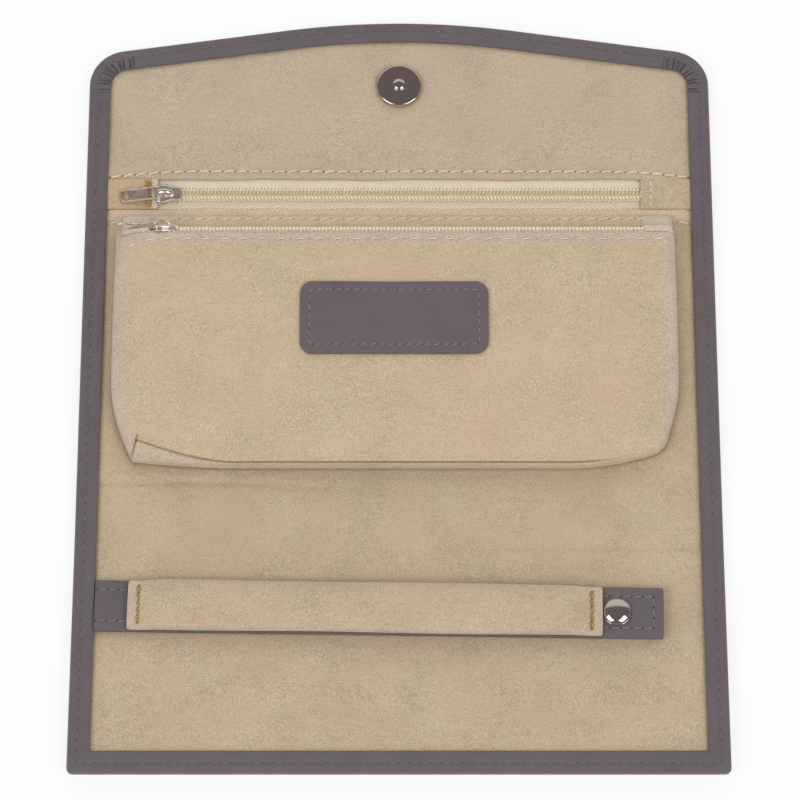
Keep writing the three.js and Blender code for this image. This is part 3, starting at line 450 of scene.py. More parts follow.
def dyed(name, dark, light, size, roughness, relief):
    """A fibre in two close tones: a noise of a size in mm picks one, and one a fifth as wide breaks it up."""
    dark, light = linear(dark), linear(light)
    material, tree, shader, place = new_material(name, {"Roughness": roughness, "Specular IOR Level": 0.25})
    broad = add(tree, "ShaderNodeTexNoise", {"Vector": place, "Scale": 1 / (size * MM), "Detail": 3.0})
    nap = add(tree, "ShaderNodeTexNoise", {"Vector": place, "Scale": 5 / (size * MM), "Detail": 2.0})
    both = add(tree, "ShaderNodeMath", {0: broad, 1: nap}, operation="ADD")
    share = add(tree, "ShaderNodeMapRange", {0: both, 1: 0.75, 2: 1.25})
    tone = add(tree, "ShaderNodeMix", {0: share, 6: dark, 7: light}, data_type="RGBA")
    raised = add(tree, "ShaderNodeBump", {"Height": nap, "Distance": relief * MM, "Strength": 1.0})
    feed(shader, {"Base Color": tone, "Normal": raised})
    return material


# Polyester sewing thread: smooth and close to the leather's colour. Its needle holes are flat beads, dark as
# painted shade.
hem_thread = dyed("mauve_polyester_thread", "#6d6366", "#857b7f", 1.2, 0.55, 0.05)
pierced_leather = dyed("pierced_leather", "#2c2527", "#3d3436", 1.0, 0.8, 0.05)


def follow(path, run, where):
    """The points, or other rows of numbers, of a path at the given runs along it."""
    return np.stack([np.interp(where, run, path[:, axis]) for axis in range(3)], axis=-1)


def unit(vectors):
    """Vectors scaled to a length of 1."""
    return vectors / np.linalg.norm(vectors, axis=-1, keepdims=True)


def sew(name, path, up, fix, thread, pierced=None, *, pitch, length, thick, lean=0.0, hole=0.0):
    """A row of stitches along a path, and the needle holes between them, which fix joins to their body.

    A stitch is a six-sided tube turned by lean from the path. Its middle stands proud, and its height falls
    with the square of the distance from there, so both ends go under. A hole is a flat bead, dark as painted
    shade.
    """
    run = run_along(path)
    count = max(int(round(run[-1] / pitch)), 1)
    pitch = run[-1] / count
    at = (np.arange(count) + 0.5) * pitch
    up = np.broadcast_to(up, path.shape)
    ahead = unit(follow(path, run, at + pitch / 3) - follow(path, run, at - pitch / 3))
    normal = follow(up, run, at)
    normal = unit(normal - ahead * np.sum(normal * ahead, axis=1, keepdims=True))
    turn = (lean + 0.05 * np.sin(at * 7.3))[:, None]
    along = ahead * np.cos(turn) + np.cross(normal, ahead) * np.sin(turn)
    side = np.cross(normal, along)
    share = np.linspace(-1, 1, 7)
    angle = np.arange(6) * math.pi / 3
    bow = thick * (0.42 - 0.85 * share ** 2)
    spine = follow(path, run, at)[:, None] + along[:, None] * (length / 2 * share)[None, :, None]
    spine = spine + normal[:, None] * bow[None, :, None]
    ring = side[:, None] * np.cos(angle)[None, :, None] + normal[:, None] * np.sin(angle)[None, :, None]
    tube = spine[:, :, None] + ring[:, None] * (thick / 2 * (1 - 0.35 * share ** 4))[None, :, None, None]
    fix(many_shells(name + "_thread", tube, thread))
    if pierced:
        gaps = np.arange(count + 1) * pitch
        head = unit(follow(path, run, gaps + pitch / 3) - follow(path, run, gaps - pitch / 3))
        above = follow(up, run, gaps)
        level = np.array([-0.3, 0.02, 0.06])
        spread = hole * np.array([1.0, 1.0, 0.55])
        wide = np.cross(above, head)
        disc = head[:, None] * 1.2 * np.cos(angle)[None, :, None]
        disc = disc + wide[:, None] * np.sin(angle)[None, :, None]
        bead = follow(path, run, gaps)[:, None, None] + disc[:, None] * spread[None, :, None, None]
        bead = bead + (above[:, None] * level[None, :, None])[:, :, None]
        fix(many_shells(name + "_holes", bead, pierced))


def many_shells(name, rings, material, marks=None):
    """Many like tubes as one piece, from an array of tube, ring and point, each closed by two flat ends."""
    count, rows, sides = rings.shape[:3]
    start = (np.arange(count) * rows * sides)[:, None, None]
    ends = np.stack([np.arange(sides)[::-1], (rows - 1) * sides + np.arange(sides)])
    walls = grid_faces(rows, sides, around=True)
    faces = [(walls + start).reshape(-1, 4), (ends + start).reshape(-1, sides)]
    return make_piece(name, rings, faces, material, marks=marks)


UP = np.array([0.0, 0.0, 1.0])
HEM_STITCH = {"pitch": 3.3, "length": 2.5, "thick": 0.36, "hole": 0.2}
UNDER_STITCH_Z = 0.17


def hem_row(name, plan, fold):
    """The hem's stitches over a plan path, on the upper face and, turned over, on the under face."""
    for face, height, way in (("upper", hem_height(STITCH_INSET), UP), ("under", UNDER_STITCH_Z, -UP)):
        path = tip_front(points_at(*plan.T, height))
        sew(f"{name}_{face}", path, way, fold, hem_thread, pierced_leather, **HEM_STITCH)


SEWN_X = HALF - STITCH_INSET
hem_row("hem_stitches_flap", flap_outline(STITCH_INSET), fold_flap)
hem_row("hem_stitches_front", front_outline(STITCH_INSET), fold_front)
for name, x in (("left", -SEWN_X), ("right", SEWN_X)):
    hem_row(f"hem_stitches_back_upper_{name}", line((x, BACK_MIDDLE), (x, TOP_MIDDLE), 60), fold_top)
    hem_row(f"hem_stitches_back_lower_{name}", line((x, BOTTOM_MIDDLE), (x, BACK_MIDDLE), 60), fold_back)

# Interlining and the flat pocket's rear sheet
# Thin bonded sheets lie between the leather and the velour of the back, the flap and the front.
# They are hidden while the roll is whole, so the frame's own sheets stay, in their own finish.


def finish_node(node, material):
    """Gives a node of the frame its finish."""
    piece = frame["nodes"][node]
    piece.data.materials.clear()
    piece.data.materials.append(material)
    return piece


# Bonded sheet: pressed fibres, dull and nearly white.
interlining = dyed("bonded_interlining", "#cfc8b8", "#e2ddd0", 2.0, 0.9, 0.05)
for name in ("back_interlining", "zip_pocket_sheet", "flap_interlining", "front_interlining"):
    finish_node(name, interlining)

# Velour lining
# Short beige velour is bonded over the inside of the cover, with its edge under the hem.
# It rolls over a ridge at the flap seam, and soft creases have set in near the two lower folds.


def velour_finish(name, dark, light, warm, laid_pile_sheen_tones=("#a89b8f", "#ccc0b4")):
    """Velour in two close tones, with a warmer tint in patches.

    Noises 15, 3 and 0.46 mm wide stand for the lean of the pile, brushed strokes, and the nap, which is
    drawn coarser than it is, so that it shows. Where the mesh is marked for sheen, the pile takes its
    paler, greyer laid-pile tones: painted sheen where the pile is laid back. In gaps under 1.6 mm wide,
    the colour is mixed towards a deeper brown by an occlusion test: painted shade.
    """
    dark, light, warm, gap_shade_brown = (linear(code) for code in (dark, light, warm, "#7d6744"))
    material, tree, shader, place = new_material(name, {
        "Roughness": 0.95,
        "Specular IOR Level": 0.1,
        "Sheen Weight": 0.7,
        "Sheen Roughness": 0.3,
        "Sheen Tint": linear("#e9dfdd"),
    })
    slant = {"Vector": place, "Scale": (1.0, 1.7, 1.0), "Rotation": (0.0, 0.0, 0.3)}
    strokes = add(tree, "ShaderNodeMapping", slant)
    total = 0.0
    noises = ((15, 3.0, 0.5, place), (3, 2.0, 0.45, strokes), (0.46, 2.0, 2.2, place))
    for width, detail, weight, vector in noises:
        spread = {"Vector": vector, "Scale": 1 / (width * MM), "Detail": detail}
        noise = add(tree, "ShaderNodeTexNoise", spread)
        parts = {0: noise, 1: weight, 2: total}
        total = add(tree, "ShaderNodeMath", parts, operation="MULTIPLY_ADD")
    share = add(tree, "ShaderNodeMapRange", {0: total, 1: 1.18, 2: 1.97})
    tone = add(tree, "ShaderNodeMix", {0: share, 6: dark, 7: light}, data_type="RGBA")
    spread = {"Vector": place, "Scale": 1 / (21 * MM), "Detail": 2.0, "Distortion": 0.6}
    patches = add(tree, "ShaderNodeTexNoise", spread)
    amount = add(tree, "ShaderNodeMapRange", {0: patches, 1: 0.4, 2: 0.68, 4: 0.4})
    tint = add(tree, "ShaderNodeMix", {0: amount, 6: tone, 7: warm}, data_type="RGBA")
    # Painted sheen: where the mesh is marked, the pile takes paler, greyer tones.
    brushed_sheen = add(tree, "ShaderNodeAttribute", attribute_name="brushed_sheen").outputs["Fac"]
    dim, bright = (linear(code) for code in laid_pile_sheen_tones)
    back = add(tree, "ShaderNodeMix", {0: share, 6: dim, 7: bright}, data_type="RGBA")
    pile = add(tree, "ShaderNodeMix", {0: brushed_sheen, 6: tint, 7: back}, data_type="RGBA")
    # Painted shade: narrow gaps and creases darken towards brown by an occlusion test.
    open_sky = add(tree, "ShaderNodeAmbientOcclusion", {"Distance": 1.6 * MM}, samples=6).outputs["AO"]
    gap_shade = add(tree, "ShaderNodeMapRange", {0: open_sky, 1: 0.25, 2: 0.85, 3: 0.62, 4: 0.0})
    deep = add(tree, "ShaderNodeMix", {0: gap_shade, 6: pile, 7: gap_shade_brown}, data_type="RGBA")
    raised = add(tree, "ShaderNodeBump", {"Height": noise, "Distance": 0.12 * MM, "Strength": 0.7})
    feed(shader, {"Base Color": deep, "Normal": raised})
    return material


# Cotton velour with a brushed pile: faint mottling where the pile leans, a speckled nap, and a pale sheen.
velour = velour_finish("brushed_cotton_velour", "#a8967d", "#cab99c", "#c5a88d")
flap_velour = velour_finish("brushed_cotton_velour_cool", "#a89884", "#cabba2", "#c0a891")
pouch_velour = velour_finish("brushed_cotton_velour_bright", "#ac9a80", "#d0be9f", "#ccae93")
# The facing's laid-pile tones are paler and warmer: painted light on the strip under the pocket's window and
# on the pouch's zip facing.
FACING_PAINTED_LIGHT_TONES = ("#b8a48a", "#dcc8ac")
facing_velour = velour_finish("brushed_cotton_velour_facing", "#a8967d", "#cab99c", "#c5a88d", FACING_PAINTED_LIGHT_TONES)


def box_middle(node, axis):
    """The middle of a node's box along an axis, in mm."""
    low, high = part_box(node)
    return 500 * (low[axis] + high[axis])


LINING_TOP = 2.8
ZIP_SHIFT = 0.5
ZIP_Y = box_middle("zip_slider", 1) + ZIP_SHIFT
WINDOW_HIGH = ZIP_Y + 5.5
WINDOW_LOW = ZIP_Y - 5.0
LINING_INSET = 1.6
FLAP_INSET = 4.5
LIP_DROP = np.array([1.1, 0.7, 0.28, 0.1, 0.02])


def flap_seam(x):
    """The flap seam's line: level, and drawn down towards the hem at both ends."""
    return FLAP_FOLD - 0.7 - 2.2 * np.clip((np.abs(x) - 66) / 32, 0, 1) ** 2


def lining_height(x, y):
    """The lining's upper face: low waves, a ridge at the flap seam, two set creases, and pressed sides."""
    waves = 0.09 * np.sin(x / 9.7 + y / 13.1 + 1.1) + 0.07 * np.sin(y / 7.9 - x / 6.1)
    waves = waves + 0.05 * np.sin(x / 3.9 + y / 4.7)
    z = LINING_TOP + 0.6 * waves
    from_seam = y - flap_seam(x)
    ridge = np.where(from_seam > 0, np.exp(-from_seam / 4.6), np.exp(from_seam / 3.0))
    z = z + 0.75 * ridge * (from_seam > -12) - 0.4 * bump(from_seam, 0.8)
    first = BACK_FOLD - 0.6 - 7.0 * ease((x + 60) / 150) + 0.5 * np.sin(x / 14)
    deep = 0.25 + 0.75 * ease((-10 - x) / 50)
    z = z - deep * (0.55 * bump(y - first, 1.1) - 0.22 * bump(y - first - 3.0, 2.0))
    second = FRONT_FOLD - 1.6 + 1.3 * np.sin(x / 55 + 0.5)
    deep = 0.3 + 0.7 * ease((x + 5) / 45)
    z = z - deep * (0.6 * bump(y - second, 1.2) - 0.25 * bump(y - second + 3.2, 2.2))
    return z - 0.3 * ease((np.abs(x) - (HALF - HEM - 2.4)) / 2.4)


def lining_sheet(name, low, high, rows, material, lip=None):
    """A sheet between two lines of Y at the lining's height; a lip rolls down at a window.

    Under the window, 4 mm are marked for the sheen tones: painted light on a strip that the pouch shades.
    """
    x = np.linspace(-(HALF - LINING_INSET), HALF - LINING_INSET, 170)
    share = np.linspace(0, 1, rows)
    drop = np.zeros(rows)
    if lip:
        share = np.concatenate([[0, 0.0, 0.004, 0.012, 0.03], np.linspace(0.05, 1, rows - 5)])
        drop[:5] = LIP_DROP
    if lip == "high":
        share, drop = 1 - share[::-1], drop[::-1]
    bottom, top = low(x), high(x)
    y = bottom + (top - bottom) * share[:, None]
    tucked = 0.25 * (y > FLAP_MIDDLE) * ease((y - top + 4.6) / 2.4)
    z = lining_height(x, y) - tucked - drop[:, None]
    points = tip_front(points_at(x, y, z))
    # Painted light: the marked strip under the window takes the paler tones.
    marks = {"brushed_sheen": ease((y - WINDOW_LOW + 4.5) / 1.5) * (lip == "high")}
    return thicken(make_piece(name, points, [grid_faces(*points.shape[:2])], material, marks=marks), 0.6)


def level(y):
    """A line of constant Y."""
    return lambda x: np.full(x.shape, y)


def window_edge(y, shift):
    """A window's rolled edge, which strays a little from a straight line."""
    return lambda x: y + 0.14 * np.sin((x + shift) / 8.3) + 0.1 * np.sin((x + shift) / 3.7 + 1)


def flap_edge(x):
    """The Y of the flap's edge, drawn in to the lining's edge, at each X."""
    edge = flap_outline(FLAP_INSET)
    upper = edge[edge[:, 1] > CORNER_Y]
    return np.interp(x, upper[:, 0], upper[:, 1])


lining_flap = lining_sheet("lining_flap", window_edge(WINDOW_HIGH, 0), flap_edge, 84, flap_velour, "low")
edge_low = window_edge(WINDOW_LOW, 20)
lining_back_upper = lining_sheet("lining_back_upper", level(BACK_MIDDLE), edge_low, 60, facing_velour, "high")
lining_back_lower = lining_sheet("lining_back_lower", level(BOTTOM_MIDDLE), level(BACK_MIDDLE), 90, velour)
edge_front = level(FRONT_EDGE + LINING_INSET)
lining_front = lining_sheet("lining_front", edge_front, level(BOTTOM_MIDDLE), 110, velour)
seat(lining_flap, fold_flap, "velour", "flap_lining", "zip_facing_upper")
seat(lining_back_upper, fold_top, "velour", "back_lining", "zip_facing_lower")
seat(lining_back_lower, fold_back, "velour", "bottom_spine_lining")
seat(lining_front, fold_front, "velour", "front_lining")

# Flap seam
# A row of thick cream thread crosses the roll above the flat pocket's zip.
# Its stitches slant a little and pull the velour down; each needle hole is a dark dot of painted shade.

# Spun cotton thread: soft, pale and dull. Its needle holes are shaded velour.
cream_thread = dyed("cream_cotton_thread", "#d8c5a3", "#f3e6cb", 1.2, 0.6, 0.06)
pierced_velour = dyed("pierced_velour", "#5b4a35", "#76634a", 1.0, 0.95, 0.05)
across = np.linspace(-(HALF - HEM - 0.6), HALF - HEM - 0.6, 400)
seam_y = flap_seam(across)
SEAM_PROUD = 0.06
seam = points_at(across, seam_y, lining_height(across, seam_y) + SEAM_PROUD)
FLAP_STITCH = {"pitch": 4.2, "length": 3.5, "thick": 0.62, "lean": 0.12, "hole": 0.26}
sew("flap_seam", seam, UP, fold_flap, cream_thread, pierced_velour, **FLAP_STITCH)

# Flat pocket's zip
# A size 3 nylon coil zip is sewn behind a window in the top spine: two twill tapes carry two coil rows.
# Velour tabs cover its two ends, and a nickel slider with a framed pull rides on it.


def woven(name, ridge, hollow_shade):
    """A cloth in two tones: its threads, and a darker tone painted as shade in the hollows the mesh marks."""
    ridge, hollow_shade = linear(ridge), linear(hollow_shade)
    material, tree, shader, place = new_material(name, {"Roughness": 0.85, "Specular IOR Level": 0.2})
    groove_shade = add(tree, "ShaderNodeAttribute", attribute_name="groove_shade").outputs["Fac"]
    fleck = add(tree, "ShaderNodeTexNoise", {"Vector": place, "Scale": 1 / (0.5 * MM), "Detail": 2.0})
    shade = add(tree, "ShaderNodeMath", {0: fleck, 1: 0.5, 2: groove_shade}, operation="MULTIPLY_ADD")
    share = add(tree, "ShaderNodeMapRange", {0: shade, 1: 0.15, 2: 1.25})
    tone = add(tree, "ShaderNodeMix", {0: share, 6: ridge, 7: hollow_shade}, data_type="RGBA")
    feed(shader, {"Base Color": tone})
    return material


# Cotton twill: cream ribs that run slantwise, and grooves between them painted a darker grey-green: painted
# shade with a greenish cast.
tape_weave = woven("cream_cotton_twill", "#f5ebd7", "#b2a68b")

# Nylon coil, moulded olive; its sewing threads are cream, and the cord along its edge is yellowish.
# The coil's olive, and the darker olive of the bed under it that shows between the threads, are partly
# the nylon's colour and partly painted shade of the zone where the two rows interlock.
coil_nylon = dyed("moulded_nylon_coil", "#cbc097", "#d8ceac", 1.5, 0.42, 0.02)
coil_bed = dyed("olive_bed_with_painted_shade", "#c4b78b", "#d3c79d", 1.0, 0.7, 0.03)
coil_thread = dyed("cream_polyester_thread", "#ece1c4", "#fff7e2", 0.8, 0.5, 0.03)
edge_cord = dyed("straw_polyester_cord", "#dccb9c", "#f1e2b8", 0.8, 0.5, 0.03)
CHAIN_LEFT = -80.0
CHAIN_RIGHT = 1000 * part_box("zip_end_right")[0].x + 1.3
TAPE_UNDER = 1.55
TAPE_THICK = 0.25
COIL_PITCH = 1.2
UPPER_TWILL, LOWER_TWILL = {"rib": 1.25, "slant": -0.72}, {"rib": 1.68, "slant": 0.52}
CORD_STITCH = {"pitch": COIL_PITCH, "length": 1.3}
TAPE_STITCH = {"pitch": COIL_PITCH, "length": 0.8, "thick": 0.22, "hole": 0.2}


def twill_tape(name, near, far, left, right, settle, *, rib, slant, relief, depth):
    """A flat strip with raised ribs, a rib's width apart along X and rising by the slant.

    Its columns lean with the ribs, so a column's place gives the rib's height. Grooves are marked to a depth
    of painted shade.
    """
    y = np.linspace(near, far, 4)[:, None]
    reach = (far - near) / 2 / abs(slant)
    along = np.arange(left - reach, right + reach, rib / 8)
    ridge = 0.5 + 0.5 * np.cos(2 * math.pi * along / rib)
    x = along + (y - (near + far) / 2) / slant
    points = points_at(x, y, TAPE_THICK + relief * (ridge - 0.6))
    marks = {"groove_shade": np.broadcast_to(depth * (1 - ridge), x.shape)}
    faces = grid_faces(*x.shape)
    return thicken(make_piece(name, settle(points), [faces], tape_weave, marks=marks), 0.2)


def tube_shell(path, up, half_wide, half_tall, sides, closed=False):
    """A round bar along a path, as points and faces: an ellipse with given halves across the path and up."""
    step = np.roll(path, -1, axis=0) - np.roll(path, 1, axis=0) if closed else np.gradient(path, axis=0)
    ahead = unit(step)
    side = unit(np.cross(np.broadcast_to(up, path.shape), ahead))
    rise = np.cross(ahead, side)
    angle = np.arange(sides) * 2 * math.pi / sides
    wide = half_wide * np.cos(angle)
    tall = half_tall * np.sin(angle)
    points = path[:, None] + side[:, None] * wide[None, :, None] + rise[:, None] * tall[None, :, None]
    if closed:
        points = np.concatenate([points, points[:1]])
    last = points.shape[0] * sides
    faces = [grid_faces(points.shape[0], sides, around=True)]
    if not closed:
        faces.append(np.stack([np.arange(sides)[::-1], last - sides + np.arange(sides)]))
    return points.reshape(-1, 3), faces


COIL_BAR = 0.27


def coil_row(name, side, left, right, settle):
    """One row of a coil: a thin bar wound in an oval helix along X, the two rows half a turn apart."""
    turns = int((right - left) / COIL_PITCH)
    t = np.linspace(0, 2 * math.pi * turns, turns * 10 + 1)
    swing = np.cos(t + math.pi * (side < 0))
    across = 0.46 + side * (0.38 - 0.5 * swing)
    path = points_at(left + COIL_PITCH * t / (2 * math.pi), across, 0.85 + 0.34 * np.sin(t))
    points, faces = tube_shell(path, (1.0, 0.0, 0.0), COIL_BAR, COIL_BAR, 6)
    return make_piece(name, settle(points), faces, coil_nylon)


def riding(body):
    """A function that lets a piece ride on a body."""
    return lambda piece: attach(piece, body)


def zip_chain(name, left, right, settle, up, fix):
    """What holds a coil: its bed, a cord above it, a braid of two rows below it, and the seam on its tape."""
    bed = points_at(np.linspace(left, right, 30), 0, 0.6)
    points, faces = tube_shell(bed, UP, 2.2, 0.3, 12)
    fix(make_piece(f"{name}_bed", settle(points), faces, coil_bed))
    rows = (
        ("cord_upper", 1.85, 0.85, 0.5, 0.42),
        ("braid_upper", -0.78, 1.1, 0.53, 0.62),
        ("braid_lower", -1.34, 1.0, 0.53, -0.62),
    )
    for part, y, z, thick, lean in rows:
        path = settle(np.array([(left, y, z), (right, y, z)]))
        sew(f"{name}_{part}", path, up, fix, coil_thread, thick=thick, lean=lean, **CORD_STITCH)
    sewn = settle(np.array([(left, 2.42, 0.36), (right, 2.42, 0.36)]))
    sew(f"{name}_tape_seam", sewn, up, fix, coil_thread, pierced_velour, **TAPE_STITCH)


def on_spine(points):
    """Sets zip points, which are measured from the middle of the tape's underside, into the top spine."""
    return points + np.array([0, ZIP_Y, TAPE_UNDER])


ride_spine = riding("top_spine")
ends = (-84.0, CHAIN_RIGHT + 1.0)
tape = twill_tape("pocket_tape_upper", 0.5, 6.0, *ends, on_spine, **UPPER_TWILL, relief=0.14, depth=0.6)
seat(tape, ride_spine, "zip_tape", "zip_tape_upper")
tape = twill_tape("pocket_tape_lower", -5.7, -0.5, *ends, on_spine, **LOWER_TWILL, relief=0.24, depth=0.85)
seat(tape, ride_spine, "zip_tape", "zip_tape_lower")
for part, side in (("upper", 1), ("lower", -1)):
    coil = coil_row(f"pocket_coil_{part}", side, CHAIN_LEFT, CHAIN_RIGHT, on_spine)
    seat(coil, ride_spine, "zip_coil", f"zip_coil_{part}")
zip_chain("pocket_zip", CHAIN_LEFT, CHAIN_RIGHT, on_spine, UP, ride_spine)
path = on_spine(np.array([(CHAIN_LEFT, -1.98, 0.75), (CHAIN_RIGHT, -1.98, 0.75)]))
sew("pocket_zip_cord_lower", path, UP, ride_spine, edge_cord, thick=0.44, lean=0.3, **CORD_STITCH)


def border_steps(half, edge, count):
    """Steps from -half to half, close together near both ends, where an edge of that width is rounded."""
    near = edge * np.array([0, 0.06, 0.2, 0.45, 0.75, 1.0])
    between = np.linspace(-half + edge, half - edge, count)[1:-1]
    return np.concatenate([-half + near, between, half - near[::-1]])


def patch_shell(centre, size, *, corner, low, thick, edge, counts=(40, 20), half=None):
    """A closed patch with rounded corners and a rounded upper edge, as points and faces.

    Each row's half width, which half may give as a function of Y, is shortened near the ends by the corner's
    circle. The upper face drops by a quarter circle over the edge's width.
    """
    half_x, half_y = size[0] / 2, size[1] / 2
    y = border_steps(half_y, edge, counts[1])
    past = np.clip(np.abs(y) - (half_y - corner), 0, corner)
    wide = (half(y) if half else half_x) - (corner - np.sqrt(corner ** 2 - past ** 2))
    x = border_steps(half_x, edge, counts[0]) / half_x * wide[:, None]
    inside = np.minimum(wide[:, None] - np.abs(x), (half_y - np.abs(y))[:, None])
    drop = edge * (1 - np.sqrt(1 - (1 - np.clip(inside / edge, 0, 1)) ** 2))
    plan = (centre[0] + x, centre[1] + y[:, None])
    upper = points_at(*plan, low + thick - drop)
    lower = points_at(*plan, low)
    rows, columns = x.shape
    faces = grid_faces(rows, columns)
    index = np.arange(rows * columns).reshape(rows, columns)
    rim = np.concatenate([index[0], index[1:, -1], index[-1, -2::-1], index[-2:0:-1, 0]])
    ahead = np.roll(rim, -1)
    total = rows * columns
    sides = np.stack([rim, rim + total, ahead + total, ahead], axis=-1)
    points = np.concatenate([upper.reshape(-1, 3), lower.reshape(-1, 3)])
    return points, [faces, faces[:, ::-1] + total, sides]


def soft_patch(name, patch, material, settle, brushed_sheen=0.0):
    """A piece from one patch, laid on the surface settle gives; a share of painted sheen greys its pile."""
    points, faces = patch
    marks = {"brushed_sheen": np.full(len(points), brushed_sheen)}
    return make_piece(name, settle(points), faces, material, weld=True, marks=marks)


# Spun ochre thread, twisted from thick yarn, holds the left tab and the ring bar's ends.
ochre_thread = dyed("ochre_cotton_thread", "#967244", "#d0a868", 0.5, 0.6, 0.1)

# The left tab is cut from a warmer velour. Its rolled edge and the pouch's tabs have a paler, greyer one,
# partly painted sheen.
tan_velour = velour_finish("brushed_cotton_velour_tan", "#a8937a", "#c9b495", "#cba983")
pale_velour = velour_finish("brushed_cotton_velour_pale", "#b8a999", "#dccdbb", "#d8c0ac")
TAB_EDGE, TAB_OUTER = 81.4, HALF - HEM + 2.5
TAB_Y, TAB_DEEP, TAB_LOW = 0.25, 11.2, 0.3
THICK_STITCH = {"pitch": 1.15, "length": 2.7, "thick": 0.85, "lean": 1.2}
THIN_STITCH = {"pitch": 2.4, "length": 2.1, "thick": 0.42, "lean": 0.1, "hole": 0.12}
TABS = {
    "left": (-TAB_OUTER, -TAB_EDGE, tan_velour, -84.2, (ochre_thread,), THICK_STITCH),
    "right": (CHAIN_RIGHT - 1.0, TAB_OUTER, velour, 84.4, (cream_thread, pierced_velour), THIN_STITCH),
}
for name, (left, right, cloth, sewn, threads, stitch) in TABS.items():
    centre, size = ((left + right) / 2, TAB_Y), (right - left, TAB_DEEP)
    patch = patch_shell(centre, size, corner=0.5, low=TAB_LOW, thick=1.2, edge=0.4)
    seat(soft_patch(f"pocket_tab_{name}", patch, cloth, on_spine), ride_spine, "velour", f"zip_end_{name}")
    path = on_spine(np.array([(sewn, -4.6, 1.5), (sewn, 5.1, 1.5)]))
    sew(f"pocket_tab_{name}_stitches", path, UP, ride_spine, *threads, **stitch)
patch = patch_shell((-TAB_EDGE - 0.6, TAB_Y), (2.4, TAB_DEEP), corner=0.6, low=TAB_LOW, thick=1.6, edge=0.9)
ride_spine(soft_patch("pocket_tab_left_roll", patch, pale_velour, on_spine))


def nickel_plate(name, tone, smooth, rubbed):
    """Nickel whose roughness goes from smooth to rubbed, by a noise 1.5 mm wide."""
    material, tree, shader, place = new_material(name, {"Base Color": linear(tone), "Metallic": 1.0})
    rub = add(tree, "ShaderNodeTexNoise", {"Vector": place, "Scale": 1 / (1.5 * MM), "Detail": 3.0})
    gloss = add(tree, "ShaderNodeMapRange", {0: rub, 1: 0.35, 2: 0.65, 3: smooth, 4: rubbed})
    feed(shader, {"Roughness": gloss})
    return material


# Nickel plate over die-cast zinc, tumbled: bright and a little warm, with soft reflections.
tumbled_nickel = nickel_plate("tumbled_nickel_plate", "#f2ebe4", 0.24, 0.36)


def joined(*shells):
    """Several shells, each a pair of points and faces, as one."""
    start = np.cumsum([0] + [len(points) for points, _ in shells])
    faces = [part + first for (_, parts), first in zip(shells, start) for part in parts]
    return np.concatenate([points for points, _ in shells]), faces


def rounded_path(half_x, half_y, corner, count):
    """A closed plan path round a rectangle with round corners, with count points on each side."""
    x, y = half_x - corner, half_y - corner
    quarter = math.pi / 2
    return np.concatenate([
        line((-x, -half_y), (x, -half_y), count),
        arc(x, -y, corner, -quarter, 0, 8),
        line((half_x, -y), (half_x, y), count),
        arc(x, y, corner, 0, quarter, 8),
        line((x, half_y), (-x, half_y), count),
        arc(-x, y, corner, quarter, 2 * quarter, 8),
        line((-half_x, y), (-half_x, -y), count),
        arc(-x, -y, corner, 2 * quarter, 3 * quarter, 8),
    ])


def slider_half(x):
    """Half the slider's width along its length: wide shoulders on the left ease in an S to a narrow tail."""
    return 2.75 + 0.85 * ease((1.6 - x) / 3.4) - 0.5 * ease((-2.9 - x) / 1.4)


def swapped(shell):
    """A shell with its X and Y exchanged."""
    return shell[0][:, [1, 0, 2]], shell[1]


LUG_CENTRE, LUG_REACH, LUG_RISE, LUG_FOOT = -1.45, 2.6, 1.75, 2.2
turn = np.linspace(0, math.pi, 25)
lug_path = points_at(LUG_CENTRE + LUG_REACH * np.cos(turn), 0, LUG_FOOT + LUG_RISE * np.sin(turn))


def slider_step(size, inset, **shape):
    """One step of the slider: a patch whose half width is the slider's less an inset."""
    return swapped(patch_shell((0, 0), size, counts=(16, 26), half=lambda x: slider_half(x) - inset, **shape))


SLIDER = joined(
    slider_step((7.2, 8.5), 0.0, corner=0.8, low=0.25, thick=0.5, edge=0.24),
    slider_step((5.6, 7.4), 0.9, corner=0.7, low=0.5, thick=0.8, edge=0.3),
    slider_step((6.8, 8.3), 0.2, corner=0.9, low=0.98, thick=1.37, edge=0.62),
    tube_shell(lug_path, (0.0, 1.0, 0.0), 0.68, 0.95, 16),
)
PULL_BAR = 0.36
PULL_LOW, PULL_HIGH = (1000 * np.array(corner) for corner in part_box("zip_pull"))
PULL_LONG, PULL_WIDE = (PULL_HIGH - PULL_LOW)[:2]
PULL_MIDDLE = (PULL_LOW[0] + PULL_HIGH[0]) / 2 - FOLD["zip_pull_tilt"][0]
pull_plan = rounded_path(PULL_LONG / 2 - PULL_BAR, PULL_WIDE / 2 - PULL_BAR, 0.9, 12)
pull_path = points_at(*(pull_plan + np.array([PULL_MIDDLE, 0])).T, 0)
plate_size = (6.2, PULL_WIDE - 1.3)
PULL = joined(
    tube_shell(pull_path, UP, PULL_BAR, 0.58, 12, closed=True),
    patch_shell((PULL_MIDDLE - 0.6, 0), plate_size, corner=0.2, low=-0.3, thick=0.35, edge=0.12),
)


def zip_slider(name, centre, settle, body, node):
    """A slider at an X along a zip: a flanged body in three steps, with an arched lug on its back."""
    points, faces = SLIDER
    piece = make_piece(name, settle(points + np.array([centre, 0, 0])), faces, tumbled_nickel, weld=True)
    seat(piece, riding(body), "metal", node)


def zip_pull(name, pivot, swing, droop, settle, body, node):
    """A framed pull on a slider's lug, with a bare plate in it; it swings aside and droops by two angles."""
    points, faces = PULL
    x, y, z = points.T
    hung = points_at(
        pivot[0] + x * math.cos(swing) - y * math.sin(swing),
        pivot[1] + x * math.sin(swing) + y * math.cos(swing),
        pivot[2] + z + x * math.tan(droop),
    )
    seat(make_piece(name, settle(hung), faces, tumbled_nickel, weld=True), riding(body), "metal", node)


